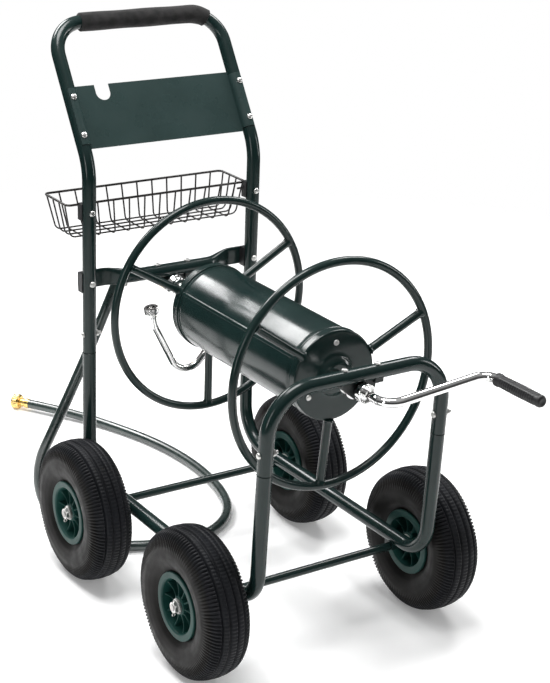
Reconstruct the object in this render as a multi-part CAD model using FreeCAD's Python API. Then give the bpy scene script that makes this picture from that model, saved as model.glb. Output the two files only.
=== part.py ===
"""Garden hose reel cart: four pneumatic wheels, a bolted tube frame with a push handle, a reel with
a hand crank, a wire basket, a tool panel and a leader hose.  Millimetres, +Z up, +X to the right when
standing in front of the crank, +Y towards the push handle."""
import FreeCAD, Part
import math
import os

V = FreeCAD.Vector
X, Y, Z = V(1, 0, 0), V(0, 1, 0), V(0, 0, 1)
PARTS = {}

# ---------------------------------------------------------------- driving dimensions
# frame tubes
tube_od = 25.0
tube_wall = 1.5
frame_half = 173.0          # centre plane to the axis of a side tube
side_gap = 9.0              # side tube to the tyre's inner wall
rear_post_y = 529.0
front_foot_y = -53.5        # where the front post's axis meets the rail's axis
front_lean = 2.5            # degrees, front posts lean forward
rail_rear_bend = 75.0
rail_front_bend = 60.0
rear_joint_z = 393.0
front_joint_z = 388.0
joint_bolt_rise = 35.0      # bolt above the joint line
spigot_length = 60.0
hoop_bend = 78.0
handle_bend_z = 743.0
handle_bend = 100.0
handle_rake = 33.1          # degrees from vertical
handle_top_z = 970.0
handle_corner = 60.0
grip_od = 34.0
grip_left_x = -116.0
grip_corner_angle = 36.0    # degrees of the right-hand corner that the foam covers

# wheels and axles
wheel_od = 260.0
wheel_width = 83.0
front_axle_y = 37.0
wheelbase = 393.0
axle_tube_od = 15.0
axle_rod_d = 12.0
rim_flange_r = 58.9
rim_flange_x = 35.3         # rim centre plane to the flange's face
rim_barrel_r = 50.0
rim_wall = 4.0
hub_r = 16.0
hub_half = 30.0
rib_count = 10
tyre_wall = 6.0

# reel
reel_z = 500.0
ring_r = 202.0              # outside of the disc's ring
ring_tube_od = 14.6
front_disc_y = 2.6
rear_disc_y = 391.5
front_disc_clock = -5.0     # degrees, how far the front disc is turned against the rear one
drum_r = 77.0
drum_wall = 1.2
cap_wall = 1.5
cap_skirt = 18.0
cap_overhang = 2.5          # cap face beyond the disc's centre plane
dome_r = 35.0
dome_height = 8.0
tie_inset = 19.0            # tie rods inside the barrel
tie_rod_d = 5.0
shaft_od = 22.0
shaft_bore = 16.0
bush_wall = 2.0
ring_wall = 6.0             # ring round the root of the crank
collar_flange = 8.5         # collar's flanges beyond the shaft
front_bar_y = -70.0
bearing_land = 1.5          # casting between a bush and the underside of the bar above it

# crank
crank_radius = 199.0
crank_angle = 5.0           # degrees above the horizontal at rest
crank_rod_d = 16.0
crank_neck_d = 12.0
crank_pin_r = 1.5
crank_reach = 61.0          # shaft's front face to the arm
crank_bend = 30.0
hand_grip_length = 109.0
hand_grip_r = 11.0
hand_spindle_d = 10.0

# water fittings
gooseneck_y = 430.0
gooseneck_od = 13.5
outlet_thread_d = 26.441
outlet_thread_length = 11.0
outlet_bore = 14.4
swivel_y = 574.0
swivel_wall = 6.0
swivel_pipe_r = 7.0
elbow_drop = 11.5           # elbow's corner to the hose's end
hose_od = 20.0
coupling_neck = 21.0
coupling_nut_length = 17.0
coupling_nut_r = 16.5
coupling_thread_d = 24.12

# bar brackets, panel, basket
bracket_bolt_x = 32.0
bracket_wall = 4.0
bracket_tongue = 4.0        # wall round the bearing hole
ear_half = 8.0
ear_drop = 4.0
flat_height = 34.0
flat_thickness = 6.0
flat_inset = 35.0           # full flatness starts this far inside a post's axis
flat_taper = 63.0
saddle_wall = 4.0
saddle_height = 36.0
panel_wall = 1.5
panel_low = 32.0            # along the handle's slope, from the bend's corner
panel_high = 150.0
panel_tab_step = 6.0
notch_x = -106.5
notch_width = 29.0
notch_depth = 30.0
panel_bolt_low = 55.0
panel_bolt_high = 127.0
basket_left_past = 35.0     # past the left post's axis
basket_right_short = 5.0    # short of the right post's axis
basket_depth = 92.0
basket_top_z = 673.0
basket_height = 70.0
basket_taper = 13.0
basket_wall = 3.0
basket_bolt_z = 660.0
clip_height = 30.0

# fasteners
m6_d = 6.0
m6_hole = 6.5
m6_head_r = 5.5
m6_head_h = 3.6
m6_nut_af = 10.0
m6_nut_h = 5.0
bolt_beyond = 10.0          # the nut and the thread past it

# clearances
fit = 0.05                  # pieces of one body, and running fits, per side
body_gap = 0.3              # pieces of different bodies
washer_wall = 1.5
axle_nut_h = 7.0

# ---------------------------------------------------------------- derived places
tube_r = tube_od / 2
tube_bore_r = tube_r - tube_wall
axle_z = wheel_od / 2
rear_axle_y = front_axle_y + wheelbase
rail_z = axle_z + axle_tube_od / 2 + tube_r
wheel_x = frame_half + tube_r + side_gap + wheel_width / 2
shaft_r = shaft_od / 2
bush_r = shaft_r + bush_wall
ring_outer_r = shaft_r + ring_wall
collar_flange_r = shaft_r + collar_flange
swivel_r = shaft_r + swivel_wall
bearing_clear = bush_r + bearing_land           # reel axis to the underside of the bar above it
bar_z = reel_z + bearing_clear + tube_r
short_bolt = tube_od + bolt_beyond
long_bolt = tube_od + saddle_wall + flat_thickness + bolt_beyond
bracket_bolt = tube_od + ear_drop - 1.0
flat_start_x = frame_half - flat_inset
basket_left = -frame_half - basket_left_past
basket_right = frame_half - basket_right_short
tie_r = drum_r - tie_inset
hub_reach = hub_half + 2.0                      # hub with its bush flange
axle_tube_half = wheel_x - hub_reach - body_gap - washer_wall - body_gap
rod_half = wheel_x + hub_reach + body_gap + washer_wall + axle_nut_h + 1.5
rake = math.radians(handle_rake)
slope = V(0, math.sin(rake), math.cos(rake))    # up along the handle
slope_front = V(0, -math.cos(rake), math.sin(rake))
handle_corner_point = V(0, rear_post_y, handle_bend_z)
handle_top_y = rear_post_y + (handle_top_z - handle_bend_z) * math.tan(rake)
lean_dir = V(0, -math.sin(math.radians(front_lean)), math.cos(math.radians(front_lean)))
cap_r = drum_r + fit + cap_wall
front_cap_y = front_disc_y - cap_overhang
rear_cap_y = rear_disc_y + cap_overhang
shaft_front_y = front_bar_y - 16.0
shaft_rear_y = swivel_y - 12.0
crank_y = shaft_front_y - crank_reach + 2.0
hand_grip_y = crank_y - crank_bend + 3.0
strip_y = rear_post_y + tube_r + saddle_wall + flat_thickness / 2
basket_front_y = rear_post_y + tube_r + saddle_wall + fit
hose_r = hose_od / 2

front_end_y = hand_grip_y - hand_grip_length
rear_end_y = handle_top_y + grip_od / 2
ORIGIN = V(0, (front_end_y + rear_end_y) / 2, 0)  # middle of the cart, on the floor


def clear_of_bar(radius):
    """How far along the reel's axis a round piece stays from the middle of the bar above it."""
    below = max(bearing_clear + tube_r - radius - body_gap, 0.0)
    return math.sqrt(max(tube_r ** 2 - below ** 2, 0.0))


def front_post(z):
    """The point of a front post's axis at height z, on the centre plane."""
    return V(0, front_foot_y, rail_z) + lean_dir * ((z - rail_z) / lean_dir.z)


hoop_y = front_post(bar_z).y


# The hose leaves the swivel's elbow, hangs behind the rear left wheel and lies on the floor.
hose_floor = hose_r
hose_end_z = coupling_nut_r + 0.3
hose_route = [
    V(-89.2, 573.6, 510.5), V(-128, 577, 419), V(-173, 586, 315), V(-218, 595, 217),
    V(-238, 613, 156), V(-245, 603.5, 97.5), V(-229.7, 576.3, 45.4), V(-194, 530, hose_floor),
    V(-150.6, 477, hose_floor), V(-69, 437, hose_floor), V(20, 427, hose_floor),
    V(98, 468, hose_floor), V(150, 548, hose_floor), V(176, 692, hose_floor),
    V(163, 848, hose_floor), V(113, 996, hose_floor), V(52, 1101, hose_end_z),
    V(5, 1171, hose_end_z)]


# ---------------------------------------------------------------- building blocks
def save(name, shape):
    """Keep a node, moved so that the origin is under the cart's middle."""
    moved = shape.copy()
    moved.translate(ORIGIN * -1)
    PARTS[name] = moved


def cyl(radius, base, axis, height):
    return Part.makeCylinder(radius, height, base, axis)


def pipe(outer_r, inner_r, base, axis, height):
    return cyl(outer_r, base, axis, height).cut(cyl(inner_r, base - axis, axis, height + 2))


def block(low, high):
    return Part.makeBox(high.x - low.x, high.y - low.y, high.z - low.z, low)


def group(shapes):
    """Separate solids kept together in one node."""
    return Part.makeCompound(list(shapes))


def fused(shapes):
    first, rest = shapes[0], shapes[1:]
    return first.fuse(rest).removeSplitter() if rest else first


def unit(vector):
    return V(vector).normalize()


def bend_arc(before, corner, after, radius):
    """Tangent points and middle of the arc that rounds a corner."""
    a, b = unit(before - corner), unit(after - corner)
    half_turn = (math.pi - a.getAngle(b)) / 2
    reach = radius * math.tan(half_turn)
    bisector = unit(a + b)
    centre = corner + bisector * (radius / math.cos(half_turn))
    return corner + a * reach, centre - bisector * radius, corner + b * reach


def bent_path(points, radii):
    """A wire of straight runs joined by tangent arcs, one radius for each inner point."""
    edges, start = [], points[0]
    for i, radius in enumerate(radii, 1):
        into, middle, out = bend_arc(points[i - 1], points[i], points[i + 1], radius)
        if (into - start).Length > 1e-6:
            edges.append(Part.LineSegment(start, into).toShape())
        edges.append(Part.Arc(into, middle, out).toShape())
        start = out
    if (points[-1] - start).Length > 1e-6:
        edges.append(Part.LineSegment(start, points[-1]).toShape())
    return Part.Wire(edges)


def bent_rod(points, radii, radius):
    """A round bar along a bent path."""
    path = bent_path(points, radii)
    section = Part.Wire(Part.makeCircle(radius, points[0], points[1] - points[0]))
    return path.makePipeShell([section], True, False)


def bent_tube(points, radii, outer_r, inner_r):
    return bent_rod(points, radii, outer_r).cut(bent_rod(points, radii, inner_r))


def aimed(shape, base, axis):
    """Turn a shape built along +Z to an axis and set its origin on base."""
    shape.Placement = FreeCAD.Placement(base, FreeCAD.Rotation(Z, axis)).multiply(shape.Placement)
    return shape


def turned(profile, base, axis):
    """A lathe-turned solid: profile is (radius, distance along the axis) points."""
    ring = [V(r, 0, a) for r, a in profile]
    face = Part.Face(Part.makePolygon(ring + ring[:1]))
    return aimed(face.revolve(V(0, 0, 0), Z, 360), base, axis)


def drilled(shape, bolts):
    """Clearance holes for bolts that pass through a shape."""
    holes = [cyl(m6_hole / 2, seat - axis, axis, long_bolt + 20) for seat, axis in bolts]
    return shape.cut(holes)


# ---------------------------------------------------------------- bolt places
# each bolt is (seat under its head, direction of its shank)
def joint_bolts():
    """Rear and front frame joints, all with their heads to the left."""
    places = []
    for side in (-1, 1):
        rear = V(0, rear_post_y, rear_joint_z + joint_bolt_rise)
        front = front_post(front_joint_z + joint_bolt_rise)
        places += [(point + X * (side * frame_half - tube_r), X) for point in (rear, front)]
    return places


def panel_bolts():
    places = []
    for side in (-1, 1):
        for along in (panel_bolt_low, panel_bolt_high):
            axis_point = handle_corner_point + slope * along + X * side * frame_half
            places.append((axis_point + slope_front * (tube_r + fit + panel_wall), slope_front * -1))
    return places


def bar_bolts(y):
    return [(V(side * bracket_bolt_x, y, bar_z + tube_r), Z * -1) for side in (-1, 1)]


def post_bolts(z):
    return [(V(side * frame_half, rear_post_y - tube_r, z), Y) for side in (-1, 1)]


# ---------------------------------------------------------------- frame
def side_rail(side):
    """Rear lower post, bottom rail and front lower post in one bent tube with swaged ends."""
    x = X * side * frame_half
    rear_top = V(0, rear_post_y, rear_joint_z) + x
    rear_foot = V(0, rear_post_y, rail_z) + x
    front_foot = V(0, front_foot_y, rail_z) + x
    front_top = front_post(front_joint_z) + x
    points = [rear_top, rear_foot, front_foot, front_top]
    radii = [rail_rear_bend, rail_front_bend]
    rail = bent_tube(points, radii, tube_r, tube_bore_r)
    spigot_r = tube_bore_r - 2 * fit
    for top, axis in ((rear_top, Z), (front_top, lean_dir)):
        neck = cyl(tube_r, top - axis * 6, axis, 6)
        spigot = cyl(spigot_r, top - axis * 6, axis, 6 + spigot_length)
        bore = cyl(spigot_r - tube_wall, top - axis * 8, axis, spigot_length + 12)
        rail = rail.fuse([neck, spigot]).cut(bore)
    return drilled(rail, joint_bolts())


def axle_tube(y):
    """The cross tube that carries an axle, welded under both rails."""
    base = V(-axle_tube_half, y, axle_z)
    return pipe(axle_tube_od / 2, axle_rod_d / 2 + fit, base, X, 2 * axle_tube_half)


def axle_saddle(side, y):
    """A weld-on block that fills the corner between a rail and an axle tube."""
    x = side * frame_half
    low, high = V(x - 9, y - 11, axle_z - 3), V(x + 9, y + 11, rail_z - 2)
    saddle = block(low, high)
    rail = cyl(tube_r + fit, V(x, y - 20, rail_z), Y, 40)
    axle = cyl(axle_tube_od / 2 + fit, V(x - 20, y, axle_z), X, 40)
    return saddle.cut([rail, axle])


def front_hoop():
    """The upside-down U that carries the front end of the reel."""
    foot = front_post(front_joint_z)
    top = front_post(bar_z)
    shift = X * frame_half
    points = [foot - shift, top - shift, top + shift, foot + shift]
    hoop = bent_tube(points, [hoop_bend, hoop_bend], tube_r, tube_bore_r)
    return drilled(hoop, joint_bolts() + bar_bolts(top.y))


def handle_points():
    shift = X * frame_half
    foot = V(0, rear_post_y, rear_joint_z)
    top = V(0, handle_top_y, handle_top_z)
    return [foot - shift, handle_corner_point - shift, top - shift,
            top + shift, handle_corner_point + shift, foot + shift]


def handle_frame():
    """Upper rear posts and the raked push handle, one bent tube."""
    radii = [handle_bend, handle_corner, handle_corner, handle_bend]
    handle = bent_tube(handle_points(), radii, tube_r, tube_bore_r)
    bolts = joint_bolts() + panel_bolts() + post_bolts(bar_z) + post_bolts(basket_bolt_z)
    return drilled(handle, bolts)


def foam_grip():
    """Foam sleeve over the top bar, running a little way into the right-hand corner."""
    points = handle_points()
    top_left, top_right = points[2], points[3]
    start = V(grip_left_x, top_left.y, top_left.z)
    turn = math.radians(grip_corner_angle)
    arc_start = top_right - X * handle_corner
    centre = arc_start - slope * handle_corner
    on_arc = [centre + X * handle_corner * math.sin(t) + slope * handle_corner * math.cos(t)
              for t in (turn / 2, turn)]
    path = Part.Wire([Part.LineSegment(start, arc_start).toShape(),
                      Part.Arc(arc_start, on_arc[0], on_arc[1]).toShape()])
    sleeves = [path.makePipeShell([Part.Wire(Part.makeCircle(r, start, X))], True, False)
               for r in (grip_od / 2, tube_r + fit)]
    return sleeves[0].cut(sleeves[1])


def flat_section(x, share):
    """The crossbar's outline at x: share 0 is the round tube and 1 its flattened end."""
    half_y = tube_r + (flat_thickness / 2 - tube_r) * share
    half_z = tube_r + (flat_height / 2 - tube_r) * share
    centre = V(x, rear_post_y + (strip_y - rear_post_y) * share, bar_z)
    points = [centre + V(0, half_y * math.cos(t), half_z * math.sin(t))
              for t in [2 * math.pi * k / 16 for k in range(16)]]
    curve = Part.BSplineCurve()
    curve.interpolate(Points=points, PeriodicFlag=True)
    return Part.Wire(curve.toShape())


def rear_crossbar():
    """Round bar between the rear posts, its ends flattened and bolted behind them."""
    round_half = flat_start_x - flat_taper
    steps = [k / 6 for k in range(7)]
    right = [(round_half + flat_taper * s, s * s * (3 - 2 * s)) for s in steps]
    right.append((frame_half + tube_r, 1.0))
    left = [(-x, share) for x, share in reversed(right)]
    sections = [flat_section(x, share) for x, share in left + right]
    bar = Part.makeLoft(sections, True, True)
    bore = cyl(tube_bore_r, V(-round_half, rear_post_y, bar_z), X, 2 * round_half)
    return drilled(bar.cut(bore), bar_bolts(rear_post_y) + post_bolts(bar_z))


def post_saddle(side, z, height):
    """Plastic spacer that hugs the back of a rear post."""
    x = side * frame_half
    low = V(x - tube_r - 2, rear_post_y + 1, z - height / 2)
    high = V(x + tube_r + 2, rear_post_y + tube_r + saddle_wall, z + height / 2)
    body = block(low, high).cut(cyl(tube_r + fit, V(x, rear_post_y, z - height), Z, 2 * height))
    return drilled(body, post_bolts(z))


def bar_bracket(y):
    """Casting that hangs under a bar: a tongue with the bearing hole and two tapped ears."""
    ear_x = (bracket_bolt_x - ear_half, bracket_bolt_x + ear_half)
    underside = bearing_clear
    corner = V(ear_x[1], 0, underside - ear_drop)
    tongue_r = bush_r + bracket_tongue
    tangent = math.atan2(corner.z, corner.x) - math.acos(tongue_r / corner.Length)
    touch = V(tongue_r * math.cos(tangent), 0, tongue_r * math.sin(tangent))
    top = V(corner.x, 0, underside + 1)
    outline = [V(-top.x, 0, top.z), top, corner, touch, V(-touch.x, 0, touch.z), V(-corner.x, 0, corner.z)]
    plate = Part.Face(Part.makePolygon(outline + outline[:1])).extrude(Y * bracket_wall)
    plate.translate(V(0, -bracket_wall / 2, 0))
    tongue = cyl(tongue_r, V(0, -bracket_wall / 2, 0), Y, bracket_wall)
    pieces = [plate, tongue]
    for side in (-1, 1):
        near, far = sorted((side * ear_x[0], side * ear_x[1]))
        pieces.append(block(V(near, -9, underside - ear_drop), V(far, 9, underside + 6)))
    body = fused(pieces)
    bar = cyl(tube_r, V(-80, 0, underside + tube_r), X, 160)
    body = body.cut([bar, cyl(bush_r + fit, V(0, -20, 0), Y, 40)])
    body.translate(V(0, y, reel_z))
    tapped = [cyl(m6_d / 2 + fit, seat, axis, long_bolt) for seat, axis in bar_bolts(y)]
    return body.cut(tapped)


def shaft_bush(y, outward):
    """Flanged bush in a bracket; its flange is on the outer side."""
    half = bracket_wall / 2
    flange_r = bush_r + bearing_land / 2
    profile = [(shaft_r + fit, -half), (bush_r, -half), (bush_r, half), (flange_r, half),
               (flange_r, half + 2), (shaft_r + fit, half + 2)]
    return turned(profile, V(0, y, reel_z), Y * outward)


# ---------------------------------------------------------------- panel and basket
def tool_panel():
    """Sheet between the raked posts, with tabs that wrap their fronts and a notch for a nozzle."""
    wrap_in = tube_r + fit
    wrap_out = wrap_in + panel_wall
    frame = FreeCAD.Placement(handle_corner_point, FreeCAD.Rotation(X, V(0, 0, 0), slope, "ZXY"))
    flat_half = frame_half - wrap_out
    sheet = block(V(-flat_half, -panel_wall / 2, panel_low), V(flat_half, panel_wall / 2, panel_high))
    notch = [block(V(notch_x - notch_width / 2, -5, panel_high - notch_depth + notch_width / 2),
                   V(notch_x + notch_width / 2, 5, panel_high + 1)),
             cyl(notch_width / 2, V(notch_x, -5, panel_high - notch_depth + notch_width / 2), Y, 10)]
    sheet = sheet.cut(notch)
    low = panel_low + panel_tab_step
    length = panel_high - panel_low - 2 * panel_tab_step
    tabs = []
    for side in (-1, 1):
        ring = pipe(wrap_out, wrap_in, V(side * frame_half, 0, low), Z, length)
        inner = side * (frame_half - wrap_out - 1)
        outer = side * (frame_half + 7)
        near, far = sorted((inner, outer))
        tabs.append(ring.common(block(V(near, -wrap_out - 1, low), V(far, panel_wall / 2, low + length))))
    panel = fused([sheet] + tabs)
    panel.Placement = frame.multiply(panel.Placement)
    return drilled(panel, panel_bolts())


def basket_shell(inset, floor_lift):
    """Tapered box of the basket's outline, drawn in by inset."""
    rings = []
    for drop, taper in ((0.0, 0.0), (basket_height, basket_taper)):
        low = V(basket_left + taper + inset, basket_front_y + taper * 0.4 + inset, 0)
        high = V(basket_right - taper - inset, basket_front_y + basket_depth - taper - inset, 0)
        z = basket_top_z - drop + (floor_lift if drop else (1.0 if inset else 0.0))
        rings.append(Part.makePolygon([V(low.x, low.y, z), V(high.x, low.y, z),
                                       V(high.x, high.y, z), V(low.x, high.y, z), V(low.x, low.y, z)]))
    return Part.makeLoft(rings, True, True)


def basket_front(z, inset):
    """The y of the basket's sloping front wall at height z: its outside, or inside by the wall."""
    top = basket_top_z + (1.0 if inset else 0.0)
    low = basket_top_z - basket_height + inset
    return basket_front_y + inset + 0.4 * basket_taper * (top - z) / (top - low)


def basket():
    """Open basket behind the rear posts, with a lug that reaches the right-hand bolt."""
    shell = basket_shell(0, 0).cut(basket_shell(basket_wall, basket_wall))
    lug_y = basket_front(basket_bolt_z, 0.0)
    low = V(basket_right - 5, lug_y, basket_bolt_z - 9)
    lug = block(low, V(frame_half + 10, lug_y + basket_wall, basket_bolt_z + 9))
    return drilled(shell.fuse(lug), post_bolts(basket_bolt_z))


# ---------------------------------------------------------------- wheels
def at_wheel(shape, side, y):
    """Move a piece built around +Z, with +Z outboard, to a wheel's place."""
    return aimed(shape, V(side * wheel_x, y, axle_z), X * side)


def section_solid(edges):
    return Part.Face(Part.Wire(edges)).revolve(V(0, 0, 0), Z, 360)


def tyre():
    """Hollow tyre: crown, sidewalls and beads, with four grooves round the tread."""
    crown_r = wheel_od / 2
    half = wheel_width / 2
    bead_x = rim_flange_x - 5.5
    side_r = (crown_r + rim_flange_r) / 2 - 2.0
    seat = rim_barrel_r + fit

    def line(a, b):
        return Part.LineSegment(V(a[0], 0, a[1]), V(b[0], 0, b[1])).toShape()

    def arc(a, b, c):
        return Part.Arc(*[V(p[0], 0, p[1]) for p in (a, b, c)]).toShape()

    shoulder = (crown_r - 7, half - 9.5)
    outside = [(seat, bead_x), (rim_flange_r + 1, bead_x), (side_r, half), shoulder]
    inside = [(seat, bead_x - tyre_wall), (rim_flange_r + 2, bead_x - tyre_wall),
              (side_r, half - tyre_wall), (crown_r - 7 - tyre_wall, half - 9.5 - tyre_wall)]
    inner_crown = (crown_r - tyre_wall - 2, 0)

    def flip(point):
        return (point[0], -point[1])

    edges = [line(outside[0], outside[1]), arc(outside[1], outside[2], outside[3]),
             arc(shoulder, (crown_r, 0), flip(shoulder)),
             arc(flip(outside[3]), flip(outside[2]), flip(outside[1])),
             line(flip(outside[1]), flip(outside[0])), line(flip(outside[0]), flip(inside[0])),
             line(flip(inside[0]), flip(inside[1])),
             arc(flip(inside[1]), flip(inside[2]), flip(inside[3])),
             arc(flip(inside[3]), inner_crown, inside[3]),
             arc(inside[3], inside[2], inside[1]), line(inside[1], inside[0]),
             line(inside[0], outside[0])]
    body = section_solid(edges)
    grooves = [pipe(crown_r + 1, crown_r - 4, V(0, 0, offset - 1.2), Z, 2.4)
               for offset in (-21, -7.5, 7.5, 21)]
    return body.cut(grooves)


def valve_angle():
    return math.pi / rib_count


def inner_tube():
    """Air tube inside the tyre, with its valve stem reaching through the rim."""
    middle = (wheel_od / 2 + rim_flange_r) / 2 - 5.5
    section = wheel_width / 2 - tyre_wall - 6.5
    tube = Part.makeTorus(middle, section)
    radial = V(math.cos(valve_angle()), math.sin(valve_angle()), 0)
    stem_start = rim_barrel_r - rim_wall - 14
    stem = cyl(4, radial * stem_start + Z * 12, radial, middle - section * 0.8 - stem_start)
    return tube.fuse(stem).cut(Part.makeTorus(middle, section - 1.5))


def rim():
    """Moulded rim: barrel, two flanges, a web, radial ribs and the hub."""
    flange_in = rim_flange_x - 5.0
    inner_r = rim_barrel_r - rim_wall
    profile = [(inner_r, -rim_flange_x), (rim_flange_r, -rim_flange_x), (rim_flange_r, -flange_in),
               (rim_barrel_r, -flange_in), (rim_barrel_r, flange_in), (rim_flange_r, flange_in),
               (rim_flange_r, rim_flange_x), (inner_r, rim_flange_x)]
    barrel = turned(profile, V(0, 0, 0), Z)
    web = pipe(inner_r + 1, hub_r - 2, V(0, 0, -2), Z, 4)
    hub = cyl(hub_r, V(0, 0, -hub_half), Z, 2 * hub_half)
    pieces = [web, hub]
    rib_half = rim_flange_x - 8.0
    for k in range(rib_count):
        rib = block(V(hub_r - 3, -1.4, -rib_half), V(inner_r + 1, 1.4, rib_half))
        rib.rotate(V(0, 0, 0), Z, 360.0 * k / rib_count)
        pieces.append(rib)
    body = barrel.fuse(pieces)
    bore = cyl(hub_bush_r() + fit, V(0, 0, -hub_half - 1), Z, 2 * hub_half + 2)
    radial = V(math.cos(valve_angle()), math.sin(valve_angle()), 0)
    valve_hole = cyl(4.3, radial * (inner_r - 3) + Z * 12, radial, rim_wall + 6)
    return body.cut([bore, valve_hole])


def hub_bush_r():
    return axle_rod_d / 2 + 2.2


def hub_bushes():
    """Two flanged bushes pressed in from the ends of the hub."""
    bush = [(axle_rod_d / 2 + fit, 4), (hub_bush_r(), 4), (hub_bush_r(), hub_half),
            (hub_r - 3, hub_half), (hub_r - 3, hub_reach), (axle_rod_d / 2 + fit, hub_reach)]
    return group([turned(bush, V(0, 0, 0), direction) for direction in (Z, Z * -1)])


def wheel_washers(side, y):
    """One washer inboard and one outboard of a hub."""
    inner_r, outer_r = axle_rod_d / 2 + fit, 12.0
    return [at_wheel(pipe(outer_r, inner_r, Z * start, Z, washer_wall), side, y)
            for start in (-hub_reach - body_gap - washer_wall, hub_reach + body_gap)]


def axle_nut(side, y):
    start = hub_reach + body_gap + washer_wall
    nut = hex_prism(18.0, Z * start, Z, axle_nut_h, X)
    nut = nut.cut([cyl(axle_rod_d / 2 + fit, Z * (start - 1), Z, axle_nut_h + 2), split_pin_hole()])
    return at_wheel(nut, side, y)


def split_pin_height():
    return hub_reach + body_gap + washer_wall + axle_nut_h * 0.6


def split_pin_hole():
    return cyl(1.3, V(-15, 0, split_pin_height()), X, 30)


def split_pin(side, y):
    """Pin through the castle nut and the axle, with its eye and two spread legs."""
    height = split_pin_height()
    body = cyl(1.2, V(-11.5, 0, height), X, 24)
    eye = Part.makeTorus(2.6, 1.0, V(-13.6, 0, height), Y)
    return at_wheel(body.fuse(eye), side, y)


def axle_rod(y):
    rod = cyl(axle_rod_d / 2, V(-rod_half, y, axle_z), X, 2 * rod_half)
    holes = [at_wheel(split_pin_hole(), side, y) for side in (-1, 1)]
    return rod.cut(holes)


# ---------------------------------------------------------------- reel
def end_cap(y, outward):
    """Pressed end of the drum: a face, a skirt over the barrel and a domed centre."""
    profile = [(shaft_r + fit, dome_height), (dome_r - 2, dome_height), (dome_r + 3, 0),
               (cap_r - 2, 0), (cap_r, -2), (cap_r, -cap_skirt), (cap_r - cap_wall, -cap_skirt),
               (cap_r - cap_wall, -cap_wall), (dome_r + 1.5, -cap_wall),
               (dome_r - 3.5, dome_height - cap_wall), (shaft_r + fit, dome_height - cap_wall)]
    cap = turned(profile, V(0, y, reel_z), Y * outward)
    holes = [cyl(tie_rod_d / 2 + 0.2, place - Y * 20, Y, 40) for place in tie_places(y)]
    return cap.cut(holes)


def tie_places(y):
    return [V(tie_r * math.cos(a), y, reel_z + tie_r * math.sin(a))
            for a in [math.radians(90 + 120 * k) for k in range(3)]]


def tie_rod(place):
    """Long bolt that holds both caps on the barrel, with a domed head in front."""
    head = dome_head(m6_head_r - 0.5, m6_head_h, V(place.x, front_cap_y, place.z), Y * -1)
    shank = cyl(tie_rod_d / 2, V(place.x, front_cap_y, place.z), Y, rear_cap_y - front_cap_y + 8)
    return head.fuse(shank)


def tie_nut(place):
    return hex_nut(8.0, tie_rod_d, 4.0, V(place.x, rear_cap_y, place.z), Y, Z)


def drum_barrel():
    start = front_cap_y + cap_wall + fit
    length = rear_cap_y - front_cap_y - 2 * (cap_wall + fit)
    return pipe(drum_r, drum_r - drum_wall, V(0, start, reel_z), Y, length)


def spoked_disc(y, clock):
    """Side disc of the reel: a round ring and three spokes down to the drum's cap."""
    tube = ring_tube_od / 2
    centre = V(0, y, reel_z)
    ring = Part.makeTorus(ring_r - tube, tube, centre, Y)
    spokes = []
    for k in range(3):
        angle = math.radians(-90 + clock + 120 * k)
        radial = V(math.cos(angle), 0, math.sin(angle))
        spokes.append(cyl(tube, centre + radial * (cap_r - 20), radial, ring_r - tube - cap_r + 20))
    return ring.fuse(spokes).cut(cyl(cap_r + fit, V(0, y - 30, reel_z), Y, 60))


def reel_shaft():
    """Hollow shaft: a socket for the crank in front and the water way behind."""
    body = cyl(shaft_r, V(0, shaft_front_y, reel_z), Y, shaft_rear_y - shaft_front_y)
    socket = cyl(crank_neck_d / 2 + fit, V(0, shaft_front_y - 1, reel_z), Y, 47)
    water = cyl(shaft_bore / 2, V(0, shaft_front_y + 50, reel_z), Y, shaft_rear_y)
    port = cyl(gooseneck_od / 2 - 2, V(0, gooseneck_y, reel_z), Z * -1, 30)
    return body.cut([socket, water, port, crank_pin_hole()])


def shaft_collar(y, outward):
    """Chromed spool-shaped collar on the shaft beside a bracket; y is the middle of the bar."""
    inner = shaft_r + fit
    body_r = shaft_r + 2.4
    start = bracket_wall / 2 + 3.0
    flange = max(clear_of_bar(collar_flange_r), start) + 0.4
    profile = [(inner, start), (body_r, start), (body_r, flange), (collar_flange_r, flange),
               (collar_flange_r, flange + 2.0), (collar_flange_r - 2.5, flange + 6.0),
               (body_r, flange + 11.0), (body_r, flange + 14.0), (collar_flange_r - 2.0, flange + 20.0),
               (collar_flange_r - 2.0, flange + 22.0), (inner + 1.5, flange + 24.0),
               (inner, flange + 24.0)]
    return turned(profile, V(0, y, reel_z), Y * outward)


def shaft_ring():
    """Chromed cup on the shaft's front end, open in front round the root of the crank."""
    back = hoop_y - bracket_wall / 2 - 3.0 - shaft_front_y
    shoulder = hoop_y - clear_of_bar(ring_outer_r) - 0.4 - shaft_front_y
    inner = shaft_r + fit
    body_r = shaft_r + 2.4
    profile = [(inner, back), (body_r, back), (body_r, shoulder), (ring_outer_r, shoulder - 1.0),
               (ring_outer_r, -3.5), (ring_outer_r - 1.0, -5), (ring_outer_r - 2.6, -5),
               (ring_outer_r - 3.2, -4), (ring_outer_r - 3.2, 3), (inner, 3)]
    ring = turned(profile, V(0, shaft_front_y, reel_z), Y)
    return ring.cut(crank_pin_hole())


def crank_pin_hole():
    return cyl(crank_pin_r + fit, V(0, shaft_front_y + 5, reel_z - 20), Z, 40)


def crank_pin():
    half = ring_outer_r
    return cyl(crank_pin_r, V(0, shaft_front_y + 5, reel_z - half), Z, 2 * half)


def crank_turned(shape):
    """Turn a crank piece drawn level to the crank's rest angle."""
    shape.rotate(V(0, 0, reel_z), Y, -crank_angle)
    return shape


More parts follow.
